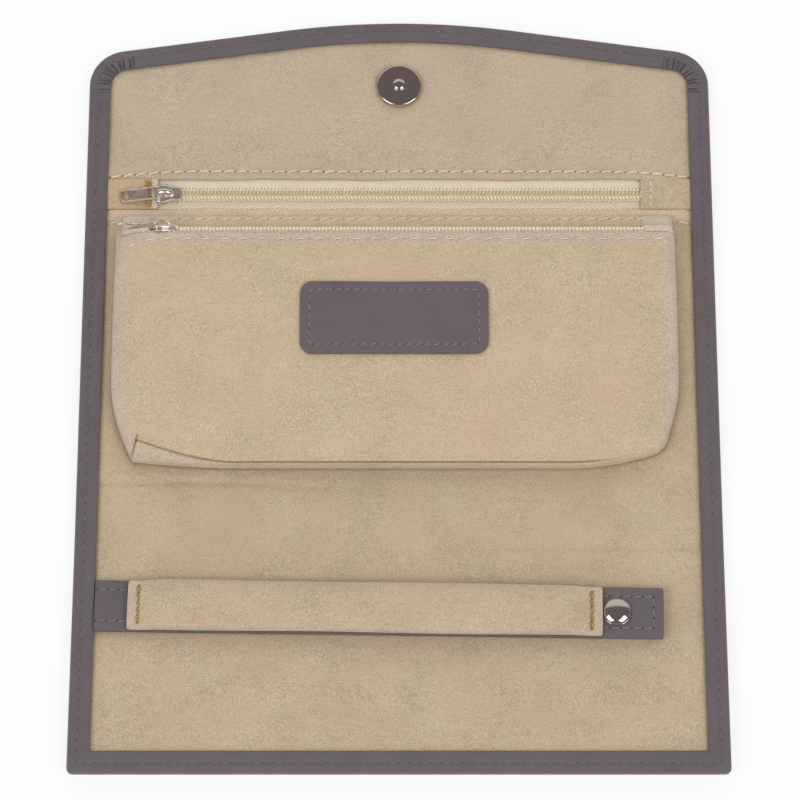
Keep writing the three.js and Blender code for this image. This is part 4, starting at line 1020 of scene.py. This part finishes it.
PIVOT = np.array(FOLD["zip_pull_tilt"]) * np.array([1, 0, 1]) - np.array([0, 0, TAPE_UNDER])
zip_slider("pocket_slider", box_middle("zip_slider", 0), on_spine, "zip_slider", "zip_slider")
zip_pull("pocket_pull", PIVOT, math.radians(5), math.radians(3.5), on_spine, "zip_pull", "zip_pull")

# Pouch
# A soft velour bag, caught along its top seam: a puffed front with a boxed bottom, and a back sheet.
# Its front is turned in at the zip and sewn along that edge, and its left lower corner is darted.
POUCH_X = -1.55
POUCH_HALF = HALF - 12
POUCH_SEAM = FOLD["pouch_lift"][1]
POUCH_LENGTH = 89.7
POUCH_BOTTOM = POUCH_SEAM - POUCH_LENGTH
POUCH_BASE = 3.7
SHELL_LOW = 0.8
SQUARE = 5.2
FRONT_SEAM = 77.1
DART = np.array([(-85.0, -20.0), (-87.2, -27.4)])
ZIP_STEEP = math.radians(65)
ZIP_EASE = (4.6, 3.4)
ZIP_FLAT = math.radians(12)
LIP = 2.9
FACE_Y = np.array([0, math.cos(ZIP_STEEP), -math.sin(ZIP_STEEP)])
FACE_Z = np.array([0, math.sin(ZIP_STEEP), math.cos(ZIP_STEEP)])
FACE_ORIGIN = np.array(FOLD["pouch_pull_tilt"]) * np.array([0, 1, 1]) - PIVOT[2] * FACE_Z

# The zip face's section, from the lip down a steep slope that eases to nearly flat: Y and Z by a run
face_steps = np.linspace(-LIP, 12.2, 160)
face_slope = ZIP_STEEP + (ZIP_FLAT - ZIP_STEEP) * ease((face_steps - ZIP_EASE[0]) / ZIP_EASE[1])
face_line = np.column_stack([np.cos(face_slope), -np.sin(face_slope)]) * (face_steps[1] - face_steps[0])
face_line = np.cumsum(face_line, axis=0) + FACE_ORIGIN[1:] - LIP * FACE_Y[1:]
FACE_END = np.interp(POUCH_SEAM, face_line[:, 0], face_steps)


def through(knots, at):
    """A smooth curve through knots, at places counted in knots.

    It is made of cubic Hermite pieces, whose tangents are half the step between the neighbours.
    """
    knots = np.array(knots, float)
    tangent = np.gradient(knots, axis=0)
    low = np.minimum(at.astype(int), len(knots) - 2)
    t = (at - low)[:, None]
    from_low = knots[low] * (2 * t ** 3 - 3 * t ** 2 + 1) + tangent[low] * (t ** 3 - 2 * t ** 2 + t)
    return from_low + knots[low + 1] * (3 * t ** 2 - 2 * t ** 3) + tangent[low + 1] * (t ** 3 - t ** 2)


def pouch_half(run, side):
    """Half the pouch's width at a run from its bottom, to the left or right: its lower corners draw in."""
    return POUCH_HALF + 0.5 * (side > 0) - np.where(side < 0, 7.5, 4.0) * np.clip(1 - run / 30, 0, 1) ** 1.9


def pouch_y(x, run):
    """The Y of a run from the pouch's bottom edge, which turns up by a square at both sides.

    A quarter circle is added at the right corner. The turn fades out over 40 mm.
    """
    left = 2.6 * np.clip((-x - 50) / 38, 0, 1) ** 2
    right = 5.4 * np.clip((x - 54) / 30, 0, 1.2) ** 2 + 5 - np.sqrt(25 - np.clip(x - 83, 0, 4.9) ** 2)
    return POUCH_BOTTOM + run + (left + right) * np.clip(1 - run / 40, 0, 1) ** 1.3


def end_fall(x, run):
    """The share of the pouch's height left at X: a squared-off arch, which turns to round ends at the zip."""
    half = pouch_half(run, x - POUCH_X)
    off = np.abs(x - POUCH_X)
    arch = (1 - np.clip(off / half, 0, 1) ** SQUARE) ** (1 / SQUARE)
    past = np.clip(1 - (half - off) / np.where(x < POUCH_X, 12.0, 3.5), 0, 1)
    near_zip = ease((run - 56) / 18)
    return arch * (1 - near_zip) + np.sqrt(1 - past ** 2) * near_zip


def pouch_swell(x, run, tall):
    """The height of the pouch's front: its section times the fall to its ends, with low slack waves."""
    fall = end_fall(x, run)
    slack = 0.28 * np.sin(x / 15 + 0.6) * np.sin(run / 17 + 0.4) + 0.16 * np.sin(x / 8.5 + run / 11)
    free = ease(run / 14) * ease((79 - run) / 8) * fall ** 4
    return POUCH_BASE - SHELL_LOW + (tall + SHELL_LOW) * fall + slack * free


front_knots = [
    (2.0, -0.7), (0.2, 0.0), (-0.55, 1.7), (-0.5, 4.2), (0.25, 5.8), (1.1, 6.6), (2.6, 7.3),
    (6, 7.95), (14, 8.3), (28, 8.55), (42, 9.4), (56, 10.3), (68, 10.25), (76, 9.95),
]
places = [np.linspace(0, 3, 18), np.linspace(3, 7.3, 82)[1:], np.linspace(7.3, 13, 52)[1:]]
section = through(front_knots, np.concatenate(places))
upper_section = section[60:]
to_seam = np.linspace(-LIP, FACE_END, 22)
face = np.column_stack([np.interp(to_seam, face_steps, face_line[:, axis]) for axis in (0, 1)])
face = face - np.array([POUCH_BOTTOM, POUCH_BASE])
edge_fold = through([section[-1], (78.2, 9.9), (79.3, 9.75), face[0]], np.linspace(0, 3, 16))[1:-1]
section = np.concatenate([section, edge_fold, face])
across = np.linspace(-1, 1, 161)
share = np.sign(across) * (1 - (1 - np.abs(across)) ** 2.4)
share = np.unique(np.concatenate([share, np.linspace(-0.99, -0.9, 44)]))
run, tall = section[:, :1], section[:, 1:]
length = run_along(section)[:, None]
lowest = np.argmin(run)
tuck = np.where(length < length[lowest], run - run[lowest], 0)
run = run - tuck
x = POUCH_X + pouch_half(run, share) * share
fall = end_fall(x, run)
y = pouch_y(x, run) + tuck * fall
z = pouch_swell(x, run, tall)
ahead = unit(np.gradient(section, axis=0))
crease = 8.0 + 7.0 * np.clip((-x - 55) / 31, 0, 1) ** 1.5
pinch = bump(length - crease, 0.36) * (1 - ease((x - 54) / 26)) * (x > -85.8)
below = 0.22 * ease((crease - length) / 1.0) * (length > 2) * (1 - ease((x - 50) / 26))
y = y + (1.2 * pinch + below) * ahead[:, 1:]
z = z - (1.2 * pinch + below) * ahead[:, :1] * fall
along = unit(DART[1] - DART[0])
from_dart = np.stack([x, y], axis=-1) - DART[0]
reach = np.clip(from_dart @ along, 0, np.linalg.norm(DART[1] - DART[0]))
from_dart = np.linalg.norm(from_dart - reach[..., None] * along, axis=-1)
z = z - 0.9 * bump(from_dart, 0.32) * (length > 6) * (length < 40)
z = z - 0.3 * bump(run - FRONT_SEAM, 0.6) * fall ** 2 * (length < 95)
faces = grid_faces(*z.shape)
quad_x = x.ravel()[faces].mean(axis=1)
MOUTH_INSET = 5.5
MOUTH_LEFT = POUCH_X - POUCH_HALF + MOUTH_INSET
MOUTH_RIGHT = POUCH_X + POUCH_HALF - MOUTH_INSET
faced = faces[:, 0] // len(share) >= len(section) - len(face)
mouth = faced & (quad_x > MOUTH_LEFT) & (quad_x < MOUTH_RIGHT)
under_foot = faces[:, 0] // len(share) < lowest
trimmed = under_foot & (fall.ravel()[faces].min(axis=1) < 0.5)
# Painted sheen: the pile is drawn paler and greyer at the turned lip, along both sides and at the foot.
lip_sheen = 0.75 * ease((run - 73.5) / 4.5)
side_sheen = 0.6 * ease((np.abs(x - POUCH_X) / pouch_half(run, x) - 0.93) / 0.05)
foot_sheen = 0.4 * ease((crease - length) / 0.6) * (1 - ease((x - 40) / 30))
marks = {"brushed_sheen": np.maximum(np.maximum(lip_sheen, side_sheen), foot_sheen)}
points = points_at(x, y, z)
left_in = [faces[~(mouth | trimmed)]]
pouch_front = make_piece("pouch_front_shell", points, left_in, pouch_velour, weld=True, marks=marks)
ride_pouch = riding("pouch")
seat(thicken(pouch_front, 0.8), ride_pouch, "velour", "pouch_front")

run = POUCH_LENGTH * np.linspace(0.015, 0.985, 60)[:, None]
across = np.linspace(-1, 1, 90)
x = POUCH_X + (pouch_half(run, across) - 0.6) * across
points = points_at(x, pouch_y(x, run), 3.55)
pouch_back = make_piece("pouch_back_sheet", points, [grid_faces(*x.shape)], velour)
seat(thicken(pouch_back, 0.5), ride_pouch, "velour", "pouch_back")


def on_swell(points):
    """Lays points, whose Z is a height over the cloth, on the pouch's front."""
    run = points[..., 1] - POUCH_BOTTOM
    tall = np.interp(run, upper_section[:, 0], upper_section[:, 1])
    height = pouch_swell(points[..., 0], run, tall) + points[..., 2]
    return points_at(points[..., 0], points[..., 1], height)


across = np.linspace(-91, 89, 200)
bend = 2.4 * np.clip((-across - 78) / 12, 0, 1) ** 2
seam = on_swell(points_at(across, POUCH_BOTTOM + FRONT_SEAM - bend, -0.16))
FRONT_STITCH = {"pitch": 6.2, "length": 2.7, "thick": 0.46, "lean": 0.1, "hole": 0.12}
sew("pouch_front_seam", seam, UP, ride_pouch, cream_thread, pierced_velour, **FRONT_STITCH)

# Pouch zip
# A second coil zip lies on the slope between the pouch's turned edge and its seam, under a velour facing.
# Velour tabs close its two ends, and its slider and pull match the pocket's.
FACE_AXES = np.stack([np.array([1.0, 0, 0]), FACE_Y, FACE_Z])
ZIP_RUN = POUCH_LENGTH - 10


def on_face(points):
    """Sets zip points onto the plane of the pouch's steep zip face."""
    return FACE_ORIGIN + points @ FACE_AXES


def on_pouch(points):
    """Sets zip points onto the pouch's zip face, whose two ends fall with the pouch."""
    set_down = on_face(points)
    fall = end_fall(points[..., 0], ZIP_RUN)
    set_down[..., 2] = POUCH_BASE + (set_down[..., 2] - POUCH_BASE) * fall
    return set_down


def facing_fold(points):
    """Lays points, whose Y is a run from the coil and Z a height, along the zip face down to the seam.

    Heights ease to nothing over the last 3 mm.
    """
    run = points[..., 1]
    height = points[..., 2] * (0.15 + 0.85 * ease((FACE_END - run) / 3))
    slope = np.interp(run, face_steps, face_slope)
    y = np.interp(run, face_steps, face_line[:, 0]) + height * np.sin(slope)
    z = np.interp(run, face_steps, face_line[:, 1]) + height * np.cos(slope)
    fall = end_fall(points[..., 0], ZIP_RUN)
    return points_at(points[..., 0], y, POUCH_BASE + (z - POUCH_BASE) * fall)


POUCH_CHAIN_RIGHT = 1000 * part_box("pouch_end_right")[0].x
ends = (-83.5, POUCH_CHAIN_RIGHT + 0.5)
tape = twill_tape("pouch_tape_upper_strip", 0.5, 4.4, *ends, on_pouch, **UPPER_TWILL, relief=0.14, depth=0.55)
seat(tape, ride_pouch, "zip_tape", "pouch_tape_upper")
tape = twill_tape("pouch_tape_lower_strip", -2.8, -0.5, *ends, on_pouch, **LOWER_TWILL, relief=0.2, depth=1.0)
seat(tape, ride_pouch, "zip_tape", "pouch_tape_lower")
for part, side in (("upper", 1), ("lower", -1)):
    coil = coil_row(f"pouch_coil_{part}_row", side, CHAIN_LEFT, POUCH_CHAIN_RIGHT, on_pouch)
    seat(coil, ride_pouch, "zip_coil", f"pouch_coil_{part}")
zip_chain("pouch_zip", CHAIN_LEFT, POUCH_CHAIN_RIGHT, on_pouch, FACE_Z, ride_pouch)
EDGE_STITCH = {"pitch": COIL_PITCH, "length": 1.1, "thick": 0.46}
for part, z, lean in (("upper", 1.2, 0.6), ("lower", 0.6, -0.6)):
    path = on_pouch(np.array([(CHAIN_LEFT, -2.1, z), (POUCH_CHAIN_RIGHT, -2.1, z)]))
    sew(f"pouch_zip_edge_{part}", path, -FACE_Y, ride_pouch, coil_thread, lean=lean, **EDGE_STITCH)
FACING_EDGE = 2.3
centre, size = (POUCH_X, (FACING_EDGE + FACE_END) / 2), (MOUTH_RIGHT - MOUTH_LEFT + 1, FACE_END - FACING_EDGE)
patch = patch_shell(centre, size, corner=0.4, low=0.15, thick=0.9, edge=0.7, counts=(120, 40))
# Painted light: the facing takes seven tenths of its paler laid-pile tones.
facing = soft_patch("pouch_zip_facing", patch, facing_velour, facing_fold, brushed_sheen=0.7)
seat(facing, ride_pouch, "velour", "pouch_facing")
across = np.linspace(MOUTH_LEFT + 3, MOUTH_RIGHT - 3, 100)
seam = facing_fold(points_at(across, FACE_END - 1.9, 1.04))
SEAM_STITCH = {"pitch": 4.2, "length": 3.5, "thick": 0.56, "lean": 0.2, "hole": 0.24}
sew("pouch_seam", seam, UP, ride_pouch, cream_thread, pierced_velour, **SEAM_STITCH)
SIDE_STITCH = {"pitch": 4.2, "length": 3.4, "thick": 0.5, "lean": 0.12, "hole": 0.2}
SIDE_START = 88.5
for name, side in (("left", -1), ("right", 1)):
    x = side * np.linspace(SIDE_START, HALF - HEM - 0.5, 30)
    y = POUCH_SEAM - 1.7 - 1.3 * ((np.abs(x) - SIDE_START) / 9) ** 2
    path = points_at(x, y, lining_height(x, y) + SEAM_PROUD)[::side]
    sew(f"pouch_seam_{name}", path, UP, fold_top, cream_thread, pierced_velour, **SIDE_STITCH)
low, high = -LIP + 0.1, FACE_END - 0.2
POUCH_TABS = {"left": (MOUTH_LEFT - 3.2, -82.4), "right": (POUCH_CHAIN_RIGHT - 0.5, MOUTH_RIGHT + 5.2)}
for name, (left, right) in POUCH_TABS.items():
    centre, size = ((left + right) / 2, (low + high) / 2), (right - left, high - low)
    patch = patch_shell(centre, size, corner=1.6, low=-0.15, thick=1.95, edge=1.3, counts=(40, 44))
    tab = soft_patch(f"pouch_tab_{name}", patch, pale_velour, facing_fold, brushed_sheen=0.2)
    seat(tab, ride_pouch, "velour", f"pouch_end_{name}")
pouch_pivot = FACE_AXES @ (np.array(FOLD["pouch_pull_tilt"]) - FACE_ORIGIN)
zip_slider("pouch_zip_slider", box_middle("pouch_slider", 0), on_face, "pouch_slider", "pouch_slider")
zip_pull("pouch_zip_pull", pouch_pivot, 0.0, math.radians(2), on_face, "pouch_pull", "pouch_pull")

# Label
# A bare patch of the cover's leather is sewn to the middle of the pouch's front, with stitches near its edge.
# It follows the swell of the velour under it.
LABEL_Y = 19.4
LABEL_SIZE = (61.7, 24.8)
LABEL_SEWN = 3.0
LABEL_STITCH = {"pitch": 3.0, "length": 2.3, "thick": 0.36, "lean": 0.22, "hole": 0.2}

# Waxed linen thread: buff, laid slantwise over dark needle holes.
buff_thread = dyed("buff_linen_thread", "#7d6c5c", "#a08d78", 1.0, 0.6, 0.05)
label_shape = {"corner": 4.2, "low": 0.05, "thick": 1.0, "edge": 0.45, "counts": (60, 26)}
patch = patch_shell((POUCH_X, LABEL_Y), LABEL_SIZE, **label_shape)
seat(soft_patch("label_patch", patch, leather, on_swell), ride_pouch, "leather", "pouch_label")
plan = rounded_path(LABEL_SIZE[0] / 2 - LABEL_SEWN, LABEL_SIZE[1] / 2 - LABEL_SEWN, 1.4, 30)
plan = np.concatenate([plan, plan[:1]]) + np.array([POUCH_X, LABEL_Y])
path = on_swell(points_at(*plan.T, 1.02))
sew("label_stitches", path, UP, ride_pouch, buff_thread, pierced_leather, **LABEL_STITCH)

# Magnetic snap
# A nickel-plated disc with a round nub is riveted through the flap; its magnet drum sits under the front.
# The socket, the washers and the ring magnet stay as the frame has them.

# The same plate, polished: mirror-like, with fine rubbed marks.
nickel = nickel_plate("polished_nickel_plate", "#dcd4cf", 0.05, 0.11)


def plate(node):
    """Gives a metal node of the frame its finish, welds its triangles and rounds its edges by 0.12 mm."""
    piece = finish_node(node, nickel)
    piece.modifiers.new("weld", "WELD").merge_threshold = WELD * MM
    bevel = piece.modifiers.new("eased_edges", "BEVEL")
    bevel.width = 0.12 * MM
    bevel.segments = 2
    bevel.limit_method = "ANGLE"
    bevel.angle_limit = math.radians(32)


def turned(name, profile, centre, settle=lambda points: points, sides=72):
    """A nickel profile of radius and height turned about an upright axis; both its ends lie on the axis."""
    radius, height = np.array(profile, float).T[:, :, None]
    angle = np.arange(sides) * 2 * math.pi / sides
    points = points_at(centre[0] + radius * np.cos(angle), centre[1] + radius * np.sin(angle), height)
    return make_piece(name, settle(points), [grid_faces(len(profile), sides, around=True)], nickel, weld=True)


def rounded(radius, low, top, power, steps):
    """A profile from a rim at a radius and height up to the axis: a superellipse of that power."""
    angle = np.linspace(0, math.pi / 2, steps)[:, None]
    rise = np.sin(angle) ** (2 / power)
    dome = np.hstack([radius * np.cos(angle) ** (2 / power), low + (top - low) * rise])
    dome[-1, 0] = 0
    return dome.tolist()


disc = [
    (0, 1.2), (1.0, 1.2), (1.0, 2.6), (7.1, 2.75), (7.42, 3.0), (7.55, 3.4), (7.55, 4.1), (7.5, 4.36),
    (7.38, 4.52), (7.2, 4.6), (6.95, 4.62), (6.6, 4.62), (3.0, 4.62), (2.3, 4.61), (2.16, 4.61),
]
snap_disc = turned("snap_disc", disc + rounded(2.1, 4.62, 5.75, 3.2, 14), (0, box_middle("snap_stud", 1)))
seat(snap_disc, riding("flap"), "metal", "snap_stud")
for name in ("snap_socket", "snap_stud_washer", "snap_socket_washer"):
    plate(name)

# Sintered ferrite: nearly black and dull.
ferrite = dyed("sintered_ferrite", "#333336", "#454549", 1.0, 0.6, 0.03)
finish_node("snap_magnet", ferrite)

# Ring bar
# A leather strap, sewn beside the left hem and snapped down at the right, carries a stuffed velour roll.
# The roll's flat ends are sewn to the strap with ochre thread, and a domed nickel stud closes it.
HINGE = np.array(FOLD["strap_lift"])
SKEW = math.radians(1.1)
STUD_X = 167.2
RISE = math.atan2(2.2, STUD_X)
turn_z = [[math.cos(SKEW), math.sin(SKEW), 0], [-math.sin(SKEW), math.cos(SKEW), 0], [0, 0, 1]]
turn_y = [[math.cos(RISE), 0, -math.sin(RISE)], [0, 1, 0], [math.sin(RISE), 0, math.cos(RISE)]]
tilt = (math.cos(FRONT_TIP), math.sin(FRONT_TIP))
turn_x = [[1, 0, 0], [0, tilt[0], tilt[1]], [0, -tilt[1], tilt[0]]]
STRAP_TURN = np.array(turn_x) @ np.array(turn_z) @ np.array(turn_y)
STRAP_UP = STRAP_TURN @ UP
STRAP_SIZE = (182.4, 16.9)
STRAP_MIDDLE = 91.0


def on_strap(points):
    """Sets points measured from the strap's sewn end, along its upper face, into the roll."""
    return HINGE + points @ STRAP_TURN.T


ride_strap = riding("strap")
strap_shape = {"corner": 0.8, "low": -1.5, "thick": 1.5, "edge": 0.4, "counts": (120, 16)}
patch = patch_shell((STRAP_MIDDLE, 0), STRAP_SIZE, **strap_shape)
seat(soft_patch("ring_strap_band", patch, leather, on_strap), ride_strap, "leather", "ring_strap")
STRAP_SEWN = 3.2
STRAP_STITCH = {"pitch": 3.5, "length": 2.7, "thick": 0.4, "lean": 0.14, "hole": 0.28}
end_x, side_y = STRAP_MIDDLE + STRAP_SIZE[0] / 2 - STRAP_SEWN, STRAP_SIZE[1] / 2 - STRAP_SEWN
corners = [(0.4, side_y, 0.02), (end_x, side_y, 0.02), (end_x, -side_y, 0.02), (0.4, -side_y, 0.02)]

# The strap's own thread is a lighter mauve than the hem's.
strap_thread = dyed("light_mauve_polyester_thread", "#7b7074", "#948a8e", 1.2, 0.55, 0.05)
for name, first in (("upper", 0), ("end", 1), ("lower", 2)):
    path = on_strap(np.array(corners[first:first + 2]))
    sew(f"strap_stitches_{name}", path, STRAP_UP, ride_strap, strap_thread, pierced_leather, **STRAP_STITCH)

ROLL_START, ROLL_LENGTH = 10.6, 152.0
ROLL_HALF = 8.3
ROLL_END = 3.4
along = ROLL_LENGTH / 2 * (1 - np.cos(np.linspace(0, math.pi, 170)))[:, None]
from_end = np.minimum(along, ROLL_LENGTH - along)
tall = 1.9 + 3.1 * ease((from_end - ROLL_END) / 8) - 0.35 * bump(from_end - ROLL_END, 0.8)
tall = tall + 0.1 * np.sin(along / 9)
wide = ROLL_HALF + 0.12 * np.sin(along / 13) - 0.5 * np.clip(1 - from_end / 0.9, 0, 1) ** 2
angle = np.arange(64) * 2 * math.pi / 64
rise = np.sign(np.sin(angle)) * np.abs(np.sin(angle)) ** 0.72
lift = np.where(rise > 0, 0.22 + 0.78 * rise, 0.22 + 0.22 * rise)
spread = np.sign(np.cos(angle)) * np.abs(np.cos(angle)) ** 0.85
points = points_at(ROLL_START + along, wide * spread, 0.12 + tall * lift)
# Painted sheen: the roll's ends and long edges take the paler, greyer pile tones.
ends = 0.35 * ease((5.5 - from_end) / 3)
edges = 0.45 * ease((np.abs(spread) - 0.72) / 0.25)
marks = {"brushed_sheen": np.broadcast_to(np.maximum(ends, edges), points.shape[:2])}
ring_roll = many_shells("ring_roll_cushion", on_strap(points)[None], velour, marks)
seat(ring_roll, ride_strap, "velour", "ring_roll_sleeve")
ROLL_STITCH = {"pitch": 2.5, "length": 2.3, "thick": 0.72, "lean": 0.4, "hole": 0.26}
for name, sewn in (("left", ROLL_START + ROLL_END), ("right", ROLL_START + ROLL_LENGTH - ROLL_END)):
    path = on_strap(np.array([(sewn, -6.2, 1.75), (sewn, 6.2, 1.75)]))
    sew(f"roll_end_{name}", path, STRAP_UP, ride_strap, ochre_thread, pierced_velour, **ROLL_STITCH)

# Polyether foam: open cells, pale and dull.
foam = dyed("open_cell_foam", "#dcd6c8", "#efeadf", 1.5, 0.95, 0.1)
finish_node("ring_roll_core", foam)
stud = [(0, -1.3), (1.0, -1.3), (1.0, 0.1), (4.2, 0.1), (4.5, 0.18), (4.6, 0.36), (4.56, 0.52), (4.44, 0.6)]
stud_cap = turned("stud_dome", stud + rounded(4.38, 0.62, 2.1, 2.0, 18), (STUD_X, 0), on_strap)
seat(stud_cap, ride_strap, "metal", "stud_cap")
for name in ("stud_post", "stud_socket"):
    plate(name)
